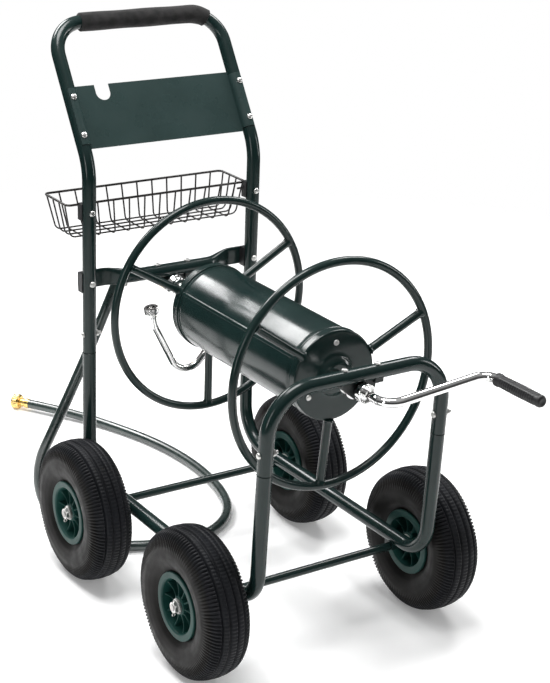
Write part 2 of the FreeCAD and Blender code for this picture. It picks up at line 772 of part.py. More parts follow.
def crank_arm():
    """Bent round bar: neck in the shaft, arm across, spindle for the hand grip."""
    rod = crank_rod_d / 2
    start = V(0, shaft_front_y - 14, reel_z)
    corner = V(0, crank_y, reel_z)
    far = V(crank_radius, crank_y, reel_z)
    end = V(crank_radius, hand_grip_y + body_gap, reel_z)
    bar = bent_rod([start, corner, far, end], [crank_bend, crank_bend - 4], rod)
    neck = cyl(crank_neck_d / 2, V(0, shaft_front_y + 45, reel_z), Y * -1, 59)
    spindle = cyl(hand_spindle_d / 2, end, Y * -1, hand_grip_length - 4)
    arm = crank_turned(bar.fuse([neck, spindle]))
    return arm.cut(crank_pin_hole())


def crank_grip():
    """Ribbed hand grip that turns on the spindle; its outer end is closed."""
    depth = hand_grip_length - 3
    profile = [(hand_spindle_d / 2 + fit, 0), (hand_grip_r - 0.6, 0), (hand_grip_r + 0.4, 3),
               (hand_grip_r + 0.4, 8), (hand_grip_r - 1.0, 12), (hand_grip_r, 50),
               (hand_grip_r - 0.6, 90), (hand_grip_r - 0.2, hand_grip_length - 6),
               (hand_grip_r - 3.0, hand_grip_length), (0, hand_grip_length), (0, depth),
               (hand_spindle_d / 2 + fit, depth)]
    return crank_turned(turned(profile, V(crank_radius, hand_grip_y, reel_z), Y * -1))


# ---------------------------------------------------------------- water fittings
gooseneck_points = [V(0, gooseneck_y, reel_z - 4), V(24, gooseneck_y, reel_z - 100),
                    V(-32, gooseneck_y, reel_z - 157), V(-93, gooseneck_y, reel_z - 39),
                    V(-98.5, gooseneck_y, reel_z - 12)]
gooseneck_bends = [38.0, 36.0, 40.0]
outlet_dir = unit(gooseneck_points[-1] - gooseneck_points[-2])
outlet_base = gooseneck_points[-1]


def gooseneck():
    """Chromed outlet pipe that swings round with the reel, ending in a male thread."""
    points = gooseneck_points
    outer = bent_rod(points, gooseneck_bends, gooseneck_od / 2)
    inner = bent_rod(points, gooseneck_bends, gooseneck_od / 2 - 1.5)
    thread_r = outlet_thread_d / 2
    head = turned([(0, -10), (gooseneck_od / 2, -10), (thread_r, 0),
                   (thread_r, outlet_thread_length), (thread_r - 1, outlet_thread_length + 1),
                   (0, outlet_thread_length + 1)], outlet_base, outlet_dir)
    mouth = cyl(outlet_bore / 2, outlet_base + outlet_dir * 2, outlet_dir, outlet_thread_length)
    throat = cyl(gooseneck_od / 2 - 1.5, outlet_base - outlet_dir * 2, outlet_dir, 8)
    whole = outer.fuse(head).cut([inner, mouth, throat])
    return whole.cut(cyl(shaft_r + fit, V(0, gooseneck_y - 20, reel_z), Y, 40))


elbow_end = hose_route[0]
elbow_out = unit(hose_route[1] - hose_route[0])
elbow_corner = elbow_end - elbow_out * elbow_drop


def swivel_body():
    """Inlet swivel: a cup that turns on the shaft's rear end and an elbow for the hose."""
    front = rear_post_y + clear_of_bar(swivel_r) + 0.4
    cup = cyl(swivel_r, V(0, front, reel_z), Y, swivel_y + 10 - front)
    pipe_points = [V(0, swivel_y, reel_z), elbow_corner, elbow_end]
    elbow = bent_rod(pipe_points, [12.0], swivel_pipe_r)
    ferrule = cyl(hose_r + 1.2, elbow_end, elbow_out * -1, 8)
    bores = [cyl(shaft_r + fit, V(0, front - 1, reel_z), Y, shaft_rear_y + 1.5 - front),
             cyl(shaft_bore / 2, V(0, front, reel_z), Y, swivel_y + 6 - front),
             pipe(seal_r() + fit, shaft_r - 1, V(0, seal_y(), reel_z), Y, seal_width()),
             bent_rod(pipe_points, [12.0], swivel_pipe_r - 2.0)]
    return cup.fuse([elbow, ferrule]).cut(bores)


def seal_y():
    return shaft_rear_y - 12.0


def seal_width():
    return 3.0


def seal_r():
    return shaft_r + 2.4


def swivel_seal():
    """Rubber ring in the swivel's groove, round the shaft."""
    return pipe(seal_r(), shaft_r + fit, V(0, seal_y() + fit, reel_z), Y, seal_width() - 2 * fit)


def hose_radii():
    """Each corner's arc: 0.45 of the shorter run over the tangent of half the turn."""
    radii = []
    for before, corner, after in zip(hose_route, hose_route[1:], hose_route[2:]):
        a, b = corner - before, after - corner
        radii.append(0.45 * min(a.Length, b.Length) / math.tan(a.getAngle(b) / 2))
    return radii


def leader_hose():
    return bent_rod(hose_route, hose_radii(), hose_r)


def hose_clamp():
    """Worm-drive clamp round the first stretch of the hose."""
    along = unit(hose_route[1] - hose_route[0])
    base = hose_route[0] + along * 2
    band = pipe(hose_r + fit + 1.2, hose_r + fit, base, along, 9)
    side = unit(along.cross(Y))
    housing = cyl(4.2, base + along * 4.5 + side * (hose_r + 5) - Y * 8, Y, 16)
    return band.fuse(housing.cut(cyl(hose_r + fit, base - along, along, 11)))


hose_end = hose_route[-1]
hose_out = unit(hose_route[-1] - hose_route[-2])


def coupling_tail():
    """Brass tail of the hose coupling, with the collar that the nut turns against."""
    waist = hose_r - 1.5
    profile = [(5.5, 0), (hose_r + 0.8, 0), (hose_r + 0.8, 8), (waist, 9), (waist, coupling_neck + 3),
               (coupling_thread_d / 2 - 0.6, coupling_neck + 3),
               (coupling_thread_d / 2 - 0.6, coupling_neck + 5.5), (5.5, coupling_neck + 5.5)]
    return turned(profile, hose_end, hose_out)


def coupling_nut():
    """Brass nut that turns freely on the tail, threaded inside."""
    bore = hose_r - 1.5 + fit
    thread_r = coupling_thread_d / 2
    far = coupling_nut_length
    chamber = 5.5 + body_gap
    profile = [(bore, 0), (coupling_nut_r - 2.5, 0), (coupling_nut_r, 2.5), (coupling_nut_r, far),
               (thread_r, far), (thread_r, chamber), (thread_r + 0.4, chamber),
               (thread_r + 0.4, 3 - body_gap), (bore, 3 - body_gap)]
    nut = turned(profile, V(0, 0, 0), Z)
    flutes = []
    for k in range(8):
        cut = cyl(5.0, V(coupling_nut_r + 4.0, 0, 4.0), Z, far)
        cut.rotate(V(0, 0, 0), Z, 45.0 * k + 22.5)
        flutes.append(cut)
    return aimed(nut.cut(flutes), hose_end + hose_out * coupling_neck, hose_out)


# ---------------------------------------------------------------- fasteners
def dome_head(radius, height, seat, outward):
    profile = [(0, 0), (radius, 0), (radius, height * 0.3), (radius * 0.84, height * 0.7),
               (radius * 0.5, height * 0.95), (0, height)]
    return turned(profile, seat, outward)


def hex_prism(across_flats, base, axis, height, flat_side):
    corner_r = across_flats / math.sqrt(3)
    across = unit(flat_side.cross(axis))
    up = unit(axis.cross(across))
    ring = [base + across * corner_r * math.cos(a) + up * corner_r * math.sin(a)
            for a in [math.radians(60 * k) for k in range(7)]]
    return Part.Face(Part.makePolygon(ring)).extrude(unit(axis) * height)


def hex_nut(across_flats, thread_d, height, base, axis, flat_side):
    nut = hex_prism(across_flats, base, axis, height, flat_side)
    return nut.cut(cyl(thread_d / 2 + fit, base - axis, axis, height + 2))


def m6_bolt(seat, axis, length):
    return dome_head(m6_head_r, m6_head_h, seat, axis * -1).fuse(cyl(m6_d / 2, seat, axis, length))


def m6_nut(seat, axis, grip):
    side = Z if abs(axis.z) < 0.9 else X
    return hex_nut(m6_nut_af, m6_d, m6_nut_h, seat + axis * grip, axis, side)


def frame_nuts():
    nuts = [m6_nut(seat, axis, tube_od) for seat, axis in joint_bolts()]
    nuts += [m6_nut(seat, axis, tube_od + fit + panel_wall) for seat, axis in panel_bolts()]
    crossbar_grip = tube_od + saddle_wall + flat_thickness
    nuts += [m6_nut(seat, axis, crossbar_grip) for seat, axis in post_bolts(bar_z)]
    basket_seat = basket_front(basket_bolt_z - m6_nut_af / 2, basket_wall) + fit
    basket_grip = basket_seat - (rear_post_y - tube_r)
    return nuts + [m6_nut(seat, axis, basket_grip) for seat, axis in post_bolts(basket_bolt_z)]


# ---------------------------------------------------------------- assembly
def build_frame():
    for side, name in ((-1, "left"), (1, "right")):
        save("side_rail_" + name, side_rail(side))
    for y, name in ((front_axle_y, "front"), (rear_axle_y, "rear")):
        save(name + "_axle_tube", axle_tube(y))
    save("axle_saddles", group(axle_saddle(s, y) for s in (-1, 1) for y in (front_axle_y, rear_axle_y)))
    save("front_hoop", front_hoop())
    save("handle_frame", handle_frame())
    save("foam_grip", foam_grip())
    save("rear_crossbar", rear_crossbar())
    save("crossbar_saddles", group(post_saddle(s, bar_z, saddle_height) for s in (-1, 1)))
    save("front_bearing_bracket", bar_bracket(hoop_y))
    save("rear_bearing_bracket", bar_bracket(rear_post_y))
    save("shaft_bushes", group([shaft_bush(hoop_y, -1), shaft_bush(rear_post_y, 1)]))
    save("tool_panel", tool_panel())
    save("basket", basket())
    save("basket_clips", group(post_saddle(s, basket_bolt_z, clip_height) for s in (-1, 1)))
    short = [m6_bolt(seat, axis, short_bolt) for seat, axis in joint_bolts() + panel_bolts()]
    short += [m6_bolt(seat, axis, bracket_bolt) for y in (hoop_y, rear_post_y) for seat, axis in bar_bolts(y)]
    save("short_bolts", group(short))
    long_places = post_bolts(bar_z) + post_bolts(basket_bolt_z)
    save("long_bolts", group(m6_bolt(seat, axis, long_bolt) for seat, axis in long_places))
    save("frame_nuts", group(frame_nuts()))


def build_wheels():
    corners = [("front_left", -1, front_axle_y), ("front_right", 1, front_axle_y),
               ("rear_left", -1, rear_axle_y), ("rear_right", 1, rear_axle_y)]
    for name, side, y in corners:
        save(name + "_tyre", at_wheel(tyre(), side, y))
        save(name + "_inner_tube", at_wheel(inner_tube(), side, y))
        save(name + "_rim", at_wheel(rim(), side, y))
        save(name + "_hub_bushes", at_wheel(hub_bushes(), side, y))
    save("wheel_axles", group(axle_rod(y) for y in (front_axle_y, rear_axle_y)))
    save("axle_washers", group(w for _, s, y in corners for w in wheel_washers(s, y)))
    save("axle_nuts", group(axle_nut(s, y) for _, s, y in corners))
    save("split_pins", group(split_pin(s, y) for _, s, y in corners))


def build_reel():
    save("drum_barrel", drum_barrel())
    save("front_end_cap", end_cap(front_cap_y, -1))
    save("rear_end_cap", end_cap(rear_cap_y, 1))
    save("front_disc", spoked_disc(front_disc_y, front_disc_clock))
    save("rear_disc", spoked_disc(rear_disc_y, 0.0))
    save("drum_tie_rods", group(tie_rod(p) for p in tie_places(0)))
    save("tie_rod_nuts", group(tie_nut(p) for p in tie_places(0)))
    save("reel_shaft", reel_shaft())
    save("shaft_collars", group([shaft_collar(hoop_y, 1), shaft_collar(rear_post_y, -1)]))
    save("shaft_ring", shaft_ring())
    save("crank_pin", crank_pin())
    save("crank_arm", crank_arm())
    save("crank_grip", crank_grip())
    save("gooseneck", gooseneck())


def build_hose():
    save("swivel_body", swivel_body())
    save("swivel_seal", swivel_seal())
    save("leader_hose", leader_hose())
    save("hose_clamp", hose_clamp())
    save("coupling_tail", coupling_tail())
    save("coupling_nut", coupling_nut())


def main():
    os.makedirs("parts", exist_ok=True)
    build_frame()
    build_wheels()
    build_reel()
    build_hose()
    for name, shape in PARTS.items():
        shape.exportStep(os.path.join("parts", name + ".step"))
    radii = hose_radii()
    length = bent_path(hose_route, radii).Length
    ratio = PARTS["leader_hose"].Volume / (math.pi * hose_r ** 2 * length)
    print("hose bend radii", [round(r) for r in radii])
    print("hose length %.0f, volume over section times length %.4f" % (length, ratio))
    print("origin is at y = %.2f of the drawing" % ORIGIN.y)
    for name, shape in PARTS.items():
        if not shape.isValid():
            print("not valid:", name)
    print(len(PARTS), "nodes")


main()
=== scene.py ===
"""Looks of the garden hose reel cart.  Drawing measures are millimetres, +Z up, +Y towards the push
handle; place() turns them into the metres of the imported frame, whose origin is under the cart."""
import math
import bmesh
import bpy
import numpy as np
from mathutils import Matrix


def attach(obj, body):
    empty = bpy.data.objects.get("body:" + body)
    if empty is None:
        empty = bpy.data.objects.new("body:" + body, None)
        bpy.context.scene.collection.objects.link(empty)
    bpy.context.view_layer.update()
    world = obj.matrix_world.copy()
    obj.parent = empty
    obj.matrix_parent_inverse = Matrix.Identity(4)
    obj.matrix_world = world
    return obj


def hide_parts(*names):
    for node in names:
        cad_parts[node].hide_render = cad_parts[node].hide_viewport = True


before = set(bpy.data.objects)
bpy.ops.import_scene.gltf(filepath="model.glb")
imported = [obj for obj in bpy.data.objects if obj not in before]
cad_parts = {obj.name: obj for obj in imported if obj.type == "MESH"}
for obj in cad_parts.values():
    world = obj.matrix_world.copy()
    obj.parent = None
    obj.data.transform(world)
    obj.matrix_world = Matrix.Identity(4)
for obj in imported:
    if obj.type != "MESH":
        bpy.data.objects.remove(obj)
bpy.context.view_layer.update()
MIDDLE = 206.49  # middle of the cart along Y in the drawing
TAU = 2 * np.pi
X, Y, Z = np.eye(3)


def place(points):
    return (np.asarray(points, float) - (0.0, MIDDLE, 0.0)) / 1000.0


# ------------------------------------------------------------------ camera
EYE = (-1.52466, -2.28977, 1.52530)


def camera():
    """Camera at EYE, in metres, looking down at the cart from its front left and rolled a little."""
    azimuth, elevation, roll = np.radians([-34.0, 20.6, 2.2])
    back = np.array([np.sin(azimuth) * np.cos(elevation),
                     -np.cos(azimuth) * np.cos(elevation), np.sin(elevation)])
    right = np.array([np.cos(azimuth), np.sin(azimuth), 0.0])
    up = np.cross(back, right)
    turned_right = np.cos(roll) * right + np.sin(roll) * up
    turned_up = np.cos(roll) * up - np.sin(roll) * right
    data = bpy.data.cameras.new("camera")
    data.sensor_width, data.lens = 36.0, 89.77
    data.clip_end = 60.0
    lens = bpy.data.objects.new("camera", data)
    axes = Matrix([turned_right, turned_up, back]).transposed().to_4x4()
    axes.translation = EYE
    lens.matrix_world = axes
    bpy.context.scene.collection.objects.link(lens)
    bpy.context.scene.camera = lens


camera()


# ------------------------------------------------------------------ materials
def material(name, colour, rough, metal=0.0, coat=0.0, coat_rough=0.1, specular=0.5, sheen=0.0):
    """A shader with its constant settings on its own sockets."""
    made = bpy.data.materials.new(name)
    made.use_nodes = True
    shader = made.node_tree.nodes["Principled BSDF"]
    shader.inputs["Base Color"].default_value = (*colour, 1.0)
    shader.inputs["Roughness"].default_value = rough
    shader.inputs["Metallic"].default_value = metal
    shader.inputs["Coat Weight"].default_value = coat
    shader.inputs["Coat Roughness"].default_value = coat_rough
    shader.inputs["Specular IOR Level"].default_value = specular
    shader.inputs["Sheen Weight"].default_value = sheen
    return made


def node(made, kind, **values):
    made_node = made.node_tree.nodes.new(kind)
    for key, value in values.items():
        if key in made_node.inputs:
            made_node.inputs[key].default_value = value
        else:
            setattr(made_node, key, value)
    return made_node


def link(made, source, target):
    made.node_tree.links.new(source, target)


def shader_of(made):
    return made.node_tree.nodes["Principled BSDF"]


def coordinates(made):
    return node(made, "ShaderNodeTexCoord").outputs["Object"]


def noise(made, scale, detail=3.0):
    made_noise = node(made, "ShaderNodeTexNoise", Scale=scale, Detail=detail)
    link(made, coordinates(made), made_noise.inputs["Vector"])
    return made_noise.outputs["Fac"]


def shade(made, factor, dark, light, low=0.35, high=0.65):
    """Colour that runs from dark to light as the factor goes from low to high."""
    ramp = node(made, "ShaderNodeValToRGB")
    ramp.color_ramp.elements[0].position, ramp.color_ramp.elements[1].position = low, high
    ramp.color_ramp.elements[0].color = (*dark, 1.0)
    ramp.color_ramp.elements[1].color = (*light, 1.0)
    link(made, factor, ramp.inputs["Fac"])
    link(made, ramp.outputs["Color"], shader_of(made).inputs["Base Color"])


def gloss(made, factor, smooth, dull):
    span = node(made, "ShaderNodeMapRange")
    span.inputs["From Min"].default_value, span.inputs["From Max"].default_value = 0.3, 0.7
    span.inputs["To Min"].default_value, span.inputs["To Max"].default_value = smooth, dull
    link(made, factor, span.inputs["Value"])
    link(made, span.outputs["Result"], shader_of(made).inputs["Roughness"])


def relief(made, heights, depth):
    """Bump from one or more height outputs added together; depth is in metres."""
    total = heights[0]
    for extra in heights[1:]:
        add = node(made, "ShaderNodeMath", operation="ADD")
        link(made, total, add.inputs[0])
        link(made, extra, add.inputs[1])
        total = add.outputs["Value"]
    bump = node(made, "ShaderNodeBump", Strength=1.0, Distance=depth)
    link(made, total, bump.inputs["Height"])
    link(made, bump.outputs["Normal"], shader_of(made).inputs["Normal"])


def powder_coat(name, dark, light, smooth=0.16, dull=0.26):
    """Glossy powder coat: slow drift of colour, slight orange peel."""
    made = material(name, dark, smooth, coat=0.1, coat_rough=0.08, specular=0.36)
    shade(made, noise(made, 9.0), dark, light)
    gloss(made, noise(made, 24.0), smooth, dull)
    relief(made, [noise(made, 420.0, 1.0)], 0.00005)
    return made


def moulded(name, dark, light, smooth, dull, grain=900.0, depth=0.00005, specular=0.5):
    """Moulded plastic or rubber: fine grain and uneven gloss."""
    made = material(name, dark, smooth, specular=specular)
    shade(made, noise(made, 14.0), dark, light)
    gloss(made, noise(made, 40.0), smooth, dull)
    relief(made, [noise(made, grain, 2.0)], depth)
    return made


def plated(name, dark, light, smooth, dull, depth=0.00002, grain=300.0):
    """Plated or machined metal: faint clouding and fine marks."""
    made = material(name, light, smooth, metal=1.0)
    shade(made, noise(made, 30.0), dark, light, 0.3, 0.6)
    gloss(made, noise(made, 60.0), smooth, dull)
    relief(made, [noise(made, grain, 2.0)], depth)
    return made


# places of the colour sockets on a mix node
COLOUR_A, COLOUR_B, COLOUR_OUT = 6, 7, 2


def tread_rubber():
    """Black rubber: brown-grey on the walls and a bluer grey of about the same lightness where the tread
    attribute is 1.
    """
    made = material("tread rubber", (0.02, 0.02, 0.021), 0.6, specular=0.13)
    part = node(made, "ShaderNodeAttribute", attribute_name="tread")
    blend = node(made, "ShaderNodeMix", data_type="RGBA")
    wall = (0.006, 0.0057, 0.0055), (0.015, 0.014, 0.0134)
    crown = (0.006, 0.0066, 0.0078), (0.013, 0.014, 0.017)
    for socket, (dark, light) in ((COLOUR_A, wall), (COLOUR_B, crown)):
        ramp = node(made, "ShaderNodeValToRGB")
        low, high = ramp.color_ramp.elements
        low.position, high.position = 0.3, 0.72
        low.color, high.color = (*dark, 1), (*light, 1)
        link(made, noise(made, 16.0, 6.0), ramp.inputs["Fac"])
        link(made, ramp.outputs["Color"], blend.inputs[socket])
    link(made, part.outputs["Fac"], blend.inputs[0])
    link(made, blend.outputs[COLOUR_OUT], shader_of(made).inputs["Base Color"])
    gloss(made, noise(made, 50.0), 0.36, 0.54)
    relief(made, [noise(made, 700.0, 3.0)], 0.00012)
    return made


def foam_rubber():
    """Closed-cell foam: pitted, with small cells of uneven size."""
    made = material("foam", (0.012, 0.012, 0.012), 0.85, specular=0.3, sheen=0.05)
    shade(made, noise(made, 60.0, 6.0), (0.008, 0.008, 0.008), (0.024, 0.023, 0.023))
    cells = node(made, "ShaderNodeTexVoronoi", Scale=900.0)
    link(made, coordinates(made), cells.inputs["Vector"])
    relief(made, [cells.outputs["Distance"], noise(made, 150.0, 4.0)], 0.00035)
    return made


def hose_skin():
    """Extruded hose: satin, slightly uneven."""
    made = material("hose skin", (0.022, 0.034, 0.031), 0.3, specular=0.8, coat=0.6, coat_rough=0.16)
    shade(made, noise(made, 12.0), (0.012, 0.024, 0.022), (0.026, 0.044, 0.040))
    gloss(made, noise(made, 60.0), 0.24, 0.36)
    relief(made, [noise(made, 500.0, 2.0)], 0.00006)
    return made


GREEN = powder_coat("green powder coat", (0.006, 0.018, 0.017), (0.010, 0.025, 0.023))
SHEET_GREEN = powder_coat("green sheet coat", (0.017, 0.036, 0.034), (0.022, 0.044, 0.042), 0.24, 0.34)
RIM_GREEN = moulded("green rim plastic", (0.007, 0.042, 0.036), (0.013, 0.060, 0.051), 0.32, 0.45,
                    specular=0.22)
BLACK = moulded("black plastic", (0.007, 0.007, 0.008), (0.016, 0.016, 0.017), 0.35, 0.5)
CASTING = moulded("painted casting", (0.008, 0.012, 0.011), (0.016, 0.022, 0.02), 0.3, 0.5, 300.0, 0.0002)
WIRE = moulded("coated wire", (0.008, 0.006, 0.006), (0.02, 0.016, 0.015), 0.28, 0.42)
RUBBER = moulded("soft rubber", (0.01, 0.01, 0.01), (0.02, 0.02, 0.02), 0.6, 0.75)
CHROME = plated("chrome", (0.78, 0.78, 0.78), (0.9, 0.9, 0.89), 0.04, 0.1, 0.000008)
ZINC = plated("zinc plate", (0.5, 0.5, 0.49), (0.7, 0.7, 0.68), 0.3, 0.42)
STEEL = plated("dull zinc", (0.36, 0.36, 0.35), (0.55, 0.54, 0.52), 0.35, 0.5)
BRASS = plated("brass", (0.62, 0.42, 0.13), (0.86, 0.62, 0.24), 0.2, 0.36)
TREAD = tread_rubber()
FOAM = foam_rubber()
HOSE = hose_skin()


# ------------------------------------------------------------------ surfaces
def patch(grid, close_along=False, close_across=False):
    """Vertices and quads of a grid of points, with its ends joined where asked."""
    rows, columns = grid.shape[:2]
    index = np.arange(rows * columns).reshape(rows, columns)
    if close_along:
        index = np.vstack([index, index[:1]])
    if close_across:
        index = np.hstack([index, index[:, :1]])
    quads = np.stack([index[:-1, :-1], index[1:, :-1], index[1:, 1:], index[:-1, 1:]], -1)
    return grid.reshape(-1, 3), quads.reshape(-1, 4)


def piece(name, shells, finish, body, stands_for=(), sharp=32.0, marks=None):
    """One object from closed shells, in metres: doubles merged, faces outward, edges over sharp hard.
    marks holds one number per point, which the finish reads as the attribute "tread"."""
    offsets = np.cumsum([0] + [len(points) for points, _ in shells[:-1]])
    points = place(np.concatenate([shell[0] for shell in shells]))
    quads = np.concatenate([shell[1] + offset for shell, offset in zip(shells, offsets)])
    mesh = bpy.data.meshes.new(name)
    mesh.vertices.add(len(points))
    mesh.vertices.foreach_set("co", points.ravel())
    mesh.loops.add(quads.size)
    mesh.loops.foreach_set("vertex_index", quads.ravel())
    mesh.polygons.add(len(quads))
    mesh.polygons.foreach_set("loop_start", np.arange(0, quads.size, 4))
    mesh.update(calc_edges=True)
    if marks is not None:
        mesh.attributes.new("tread", "FLOAT", "POINT").data.foreach_set("value", np.ravel(marks))
    work = bmesh.new()
    work.from_mesh(mesh)
    bmesh.ops.remove_doubles(work, verts=work.verts, dist=2e-6)
    bmesh.ops.dissolve_degenerate(work, edges=work.edges, dist=1e-7)
    bmesh.ops.recalc_face_normals(work, faces=work.faces)
    work.to_mesh(mesh)
    work.free()
    mesh.polygons.foreach_set("use_smooth", np.ones(len(mesh.polygons), bool))
    mesh.set_sharp_from_angle(angle=math.radians(sharp))
    mesh.materials.append(finish)
    made = bpy.data.objects.new(name, mesh)
    bpy.context.scene.collection.objects.link(made)
    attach(made, body)
    if stands_for:
        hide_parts(*stands_for)
    return made


def unit(vector):
    vector = np.asarray(vector, float)
    return vector / np.linalg.norm(vector, axis=-1, keepdims=True)


def bent(points, radii, step=4.0):
    """Centre line: straight runs joined by tangent arcs, with a point every 4 degrees of turn.
    Straight runs have points six steps apart, and none within one step of another point."""
    points = np.asarray(points, float)
    line = [points[:1]]
    for i, radius in enumerate(radii, 1):
        a, b = unit(points[i - 1] - points[i]), unit(points[i + 1] - points[i])
        half = (np.pi - np.arccos(np.clip(a @ b, -1, 1))) / 2
        centre = points[i] + unit(a + b) * radius / np.cos(half)
        first = points[i] + a * radius * np.tan(half)
        start = first - centre
        turn = np.linspace(0, 2 * half, max(3, int(np.degrees(2 * half) / 4) + 1))[:, None]
        line.append(centre + np.cos(turn) * start - np.sin(turn) * a * radius)
    line.append(points[-1:])
    line = np.concatenate(line)
    length = np.r_[0, np.cumsum(np.linalg.norm(np.diff(line, axis=0), axis=1))]
    keep = np.r_[True, np.diff(length) > 1e-6]
    line, length = line[keep], length[keep]
    extra = np.arange(step, length[-1], step * 6)
    extra = extra[np.abs(extra[:, None] - length).min(1) > step]
    where = np.sort(np.r_[length, extra])
    return np.stack([np.interp(where, length, line[:, k]) for k in range(3)], 1)


def tube(path, radius, side, around=28, chamfer=0.8):
    """Closed round bar: a circle in the plane square to the path at each of its points, its zero
    angle turned to the part of side that is square to the path, and both ends chamfered."""
    path = np.asarray(path, float)
    radius = np.broadcast_to(np.asarray(radius, float), len(path)).copy()
    run = np.gradient(path, axis=0)
    run[0], run[-1] = path[1] - path[0], path[-1] - path[-2]
    run = unit(run)
    ends = [path[:1], path[:1], path[:1] + run[:1] * chamfer]
    tails = [path[-1:] - run[-1:] * chamfer, path[-1:], path[-1:]]
    path = np.concatenate(ends + [path[1:-1]] + tails)
    first, last = radius[0], radius[-1]
    radius = np.r_[0, first - chamfer, first, radius[1:-1], last, last - chamfer, 0]
    run = np.concatenate([run[:1]] * 3 + [run[1:-1]] + [run[-1:]] * 3)
    across = unit(side - run * (run @ side)[:, None])
    over = np.cross(run, across)
    angle = np.linspace(0, TAU, around, endpoint=False)
    ring = np.cos(angle)[None, :, None] * across[:, None] + np.sin(angle)[None, :, None] * over[:, None]
    return patch(path[:, None] + radius[:, None, None] * ring, close_across=True)


def axes_for(axis):
    axis = unit(axis)
    helper = Z if abs(axis[2]) < 0.9 else X
    across = unit(np.cross(helper, axis))
    return axis, across, np.cross(axis, across)


def lathe(profile, base, axis, around=64, ripple=None):
    """Turned shape: a closed profile of (radius, distance along the axis), carried once round the
    axis.  ripple(angle, radius, distance) gives both anew for each angle."""
    axis, across, over = axes_for(axis)
    profile = np.asarray(profile, float)
    angle = np.linspace(0, TAU, around, endpoint=False)
    radius = np.repeat(profile[:, :1], around, 1)
    height = np.repeat(profile[:, 1:], around, 1)
    if ripple is not None:
        radius, height = ripple(angle[None, :], radius, height)
    ring = np.cos(angle)[:, None] * across + np.sin(angle)[:, None] * over
    grid = np.asarray(base, float) + radius[..., None] * ring[None] + height[..., None] * axis
    return patch(grid, close_along=True, close_across=True)


def torus(centre, axis, major, minor, around=192, section=24):
    """Ring: a circle of radius minor carried round the axis at radius major."""
    angle = np.linspace(0, TAU, section, endpoint=False)
    profile = np.stack([major + minor * np.cos(angle), minor * np.sin(angle)], 1)
    return lathe(profile, centre, axis, around)


def eased(profile, radius=0.6, steps=3):
    """Rounds each corner of a closed profile with a small arc-like curve."""
    profile = np.asarray(profile, float)
    before, after = np.roll(profile, 1, 0), np.roll(profile, -1, 0)

    def reach(other):
        gap = np.linalg.norm(other - profile, axis=1, keepdims=True)
        return profile + (other - profile) * np.minimum(radius / np.maximum(gap, 1e-9), 0.45)

    a, b = reach(before), reach(after)
    t = np.linspace(0, 1, steps + 1)[None, :, None]
    curve = (1 - t) ** 2 * a[:, None] + 2 * t * (1 - t) * profile[:, None] + t ** 2 * b[:, None]
    return curve.reshape(-1, 2)


# ------------------------------------------------------------------ leader hose
HOSE_ROUTE = [
    (-0.0892, 0.36711, 0.5105), (-0.128, 0.37051, 0.419), (-0.173, 0.37951, 0.315),
    (-0.218, 0.38851, 0.217), (-0.238, 0.40651, 0.156), (-0.245, 0.39701, 0.0975),
    (-0.2297, 0.36981, 0.0454), (-0.194, 0.32351, 0.0102), (-0.1506, 0.27051, 0.0102),
    (-0.069, 0.23051, 0.0102), (0.020, 0.22051, 0.0102), (0.098, 0.26151, 0.0102),
    (0.150, 0.34151, 0.0102), (0.176, 0.48551, 0.0102), (0.163, 0.64151, 0.0102),
    (0.113, 0.78951, 0.0102), (0.052, 0.89451, 0.0168), (0.005, 0.96451, 0.0168)]


def leader_hose():
    curve = bpy.data.curves.new("leader hose", "CURVE")
    curve.dimensions = "3D"
    curve.bevel_depth = 0.010
    curve.bevel_resolution = 8
    curve.resolution_u = curve.render_resolution_u = 14
    curve.use_fill_caps = True
    line = curve.splines.new("NURBS")
    line.points.add(len(HOSE_ROUTE) - 1)
    line.points.foreach_set("co", np.c_[HOSE_ROUTE, np.ones(len(HOSE_ROUTE))].ravel())
    line.order_u = 3
    line.use_endpoint_u = True
    curve.materials.append(HOSE)
    made = bpy.data.objects.new("leader_hose_skin", curve)
    bpy.context.scene.collection.objects.link(made)
    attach(made, "frame")
    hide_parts("leader_hose")
    return made


hose = leader_hose()

# ------------------------------------------------------------------ frame tubes
RAKE = math.radians(33.1)
SLOPE = np.array([0, math.sin(RAKE), math.cos(RAKE)])
SLOPE_FRONT = np.array([0, -math.cos(RAKE), math.sin(RAKE)])
LEAN = np.array([0, -math.sin(math.radians(2.5)), math.cos(math.radians(2.5))])
SIDE, POST_Y, FRONT_Y = 173.0, 529.0, -53.5
RAIL_Z, BAR_Z, REEL_Z, BEND_Z, HANDLE_Z = 150.0, 527.0, 500.0, 743.0, 970.0
FRONT_JOINT_Z, REAR_JOINT_Z, JOINT_GAP = 387.9, 392.9, 0.3
TUBE_R, SLEEVE_R, RING_R = 12.5, 7.5, 7.3
FRONT_AXLE_Y, REAR_AXLE_Y, AXLE_Z, WHEEL_X = 37.0, 430.0, 130.0, 236.0
HANDLE_TOP = np.array([0, POST_Y + (HANDLE_Z - BEND_Z) * math.tan(RAKE), HANDLE_Z])


def front_post(z):
    """Point on the front posts' centre line at height z, with x left at zero."""
    return np.array([0, FRONT_Y, RAIL_Z]) + LEAN * (z - RAIL_Z) / LEAN[2]


HOOP_Y = round(front_post(BAR_Z)[1], 2)


def side_rail(name, side):
    """Rear lower post, bottom rail and front lower post in one bent tube."""
    x = side * SIDE * X
    points = [(0, POST_Y, REAR_JOINT_Z - JOINT_GAP), (0, POST_Y, RAIL_Z), (0, FRONT_Y, RAIL_Z),
              front_post(FRONT_JOINT_Z - JOINT_GAP)]
    path = bent(np.array(points) + x, [75, 60])
    piece(name + "_rail_tube", [tube(path, TUBE_R, X)], GREEN, "frame",
          ["side_rail_" + name])


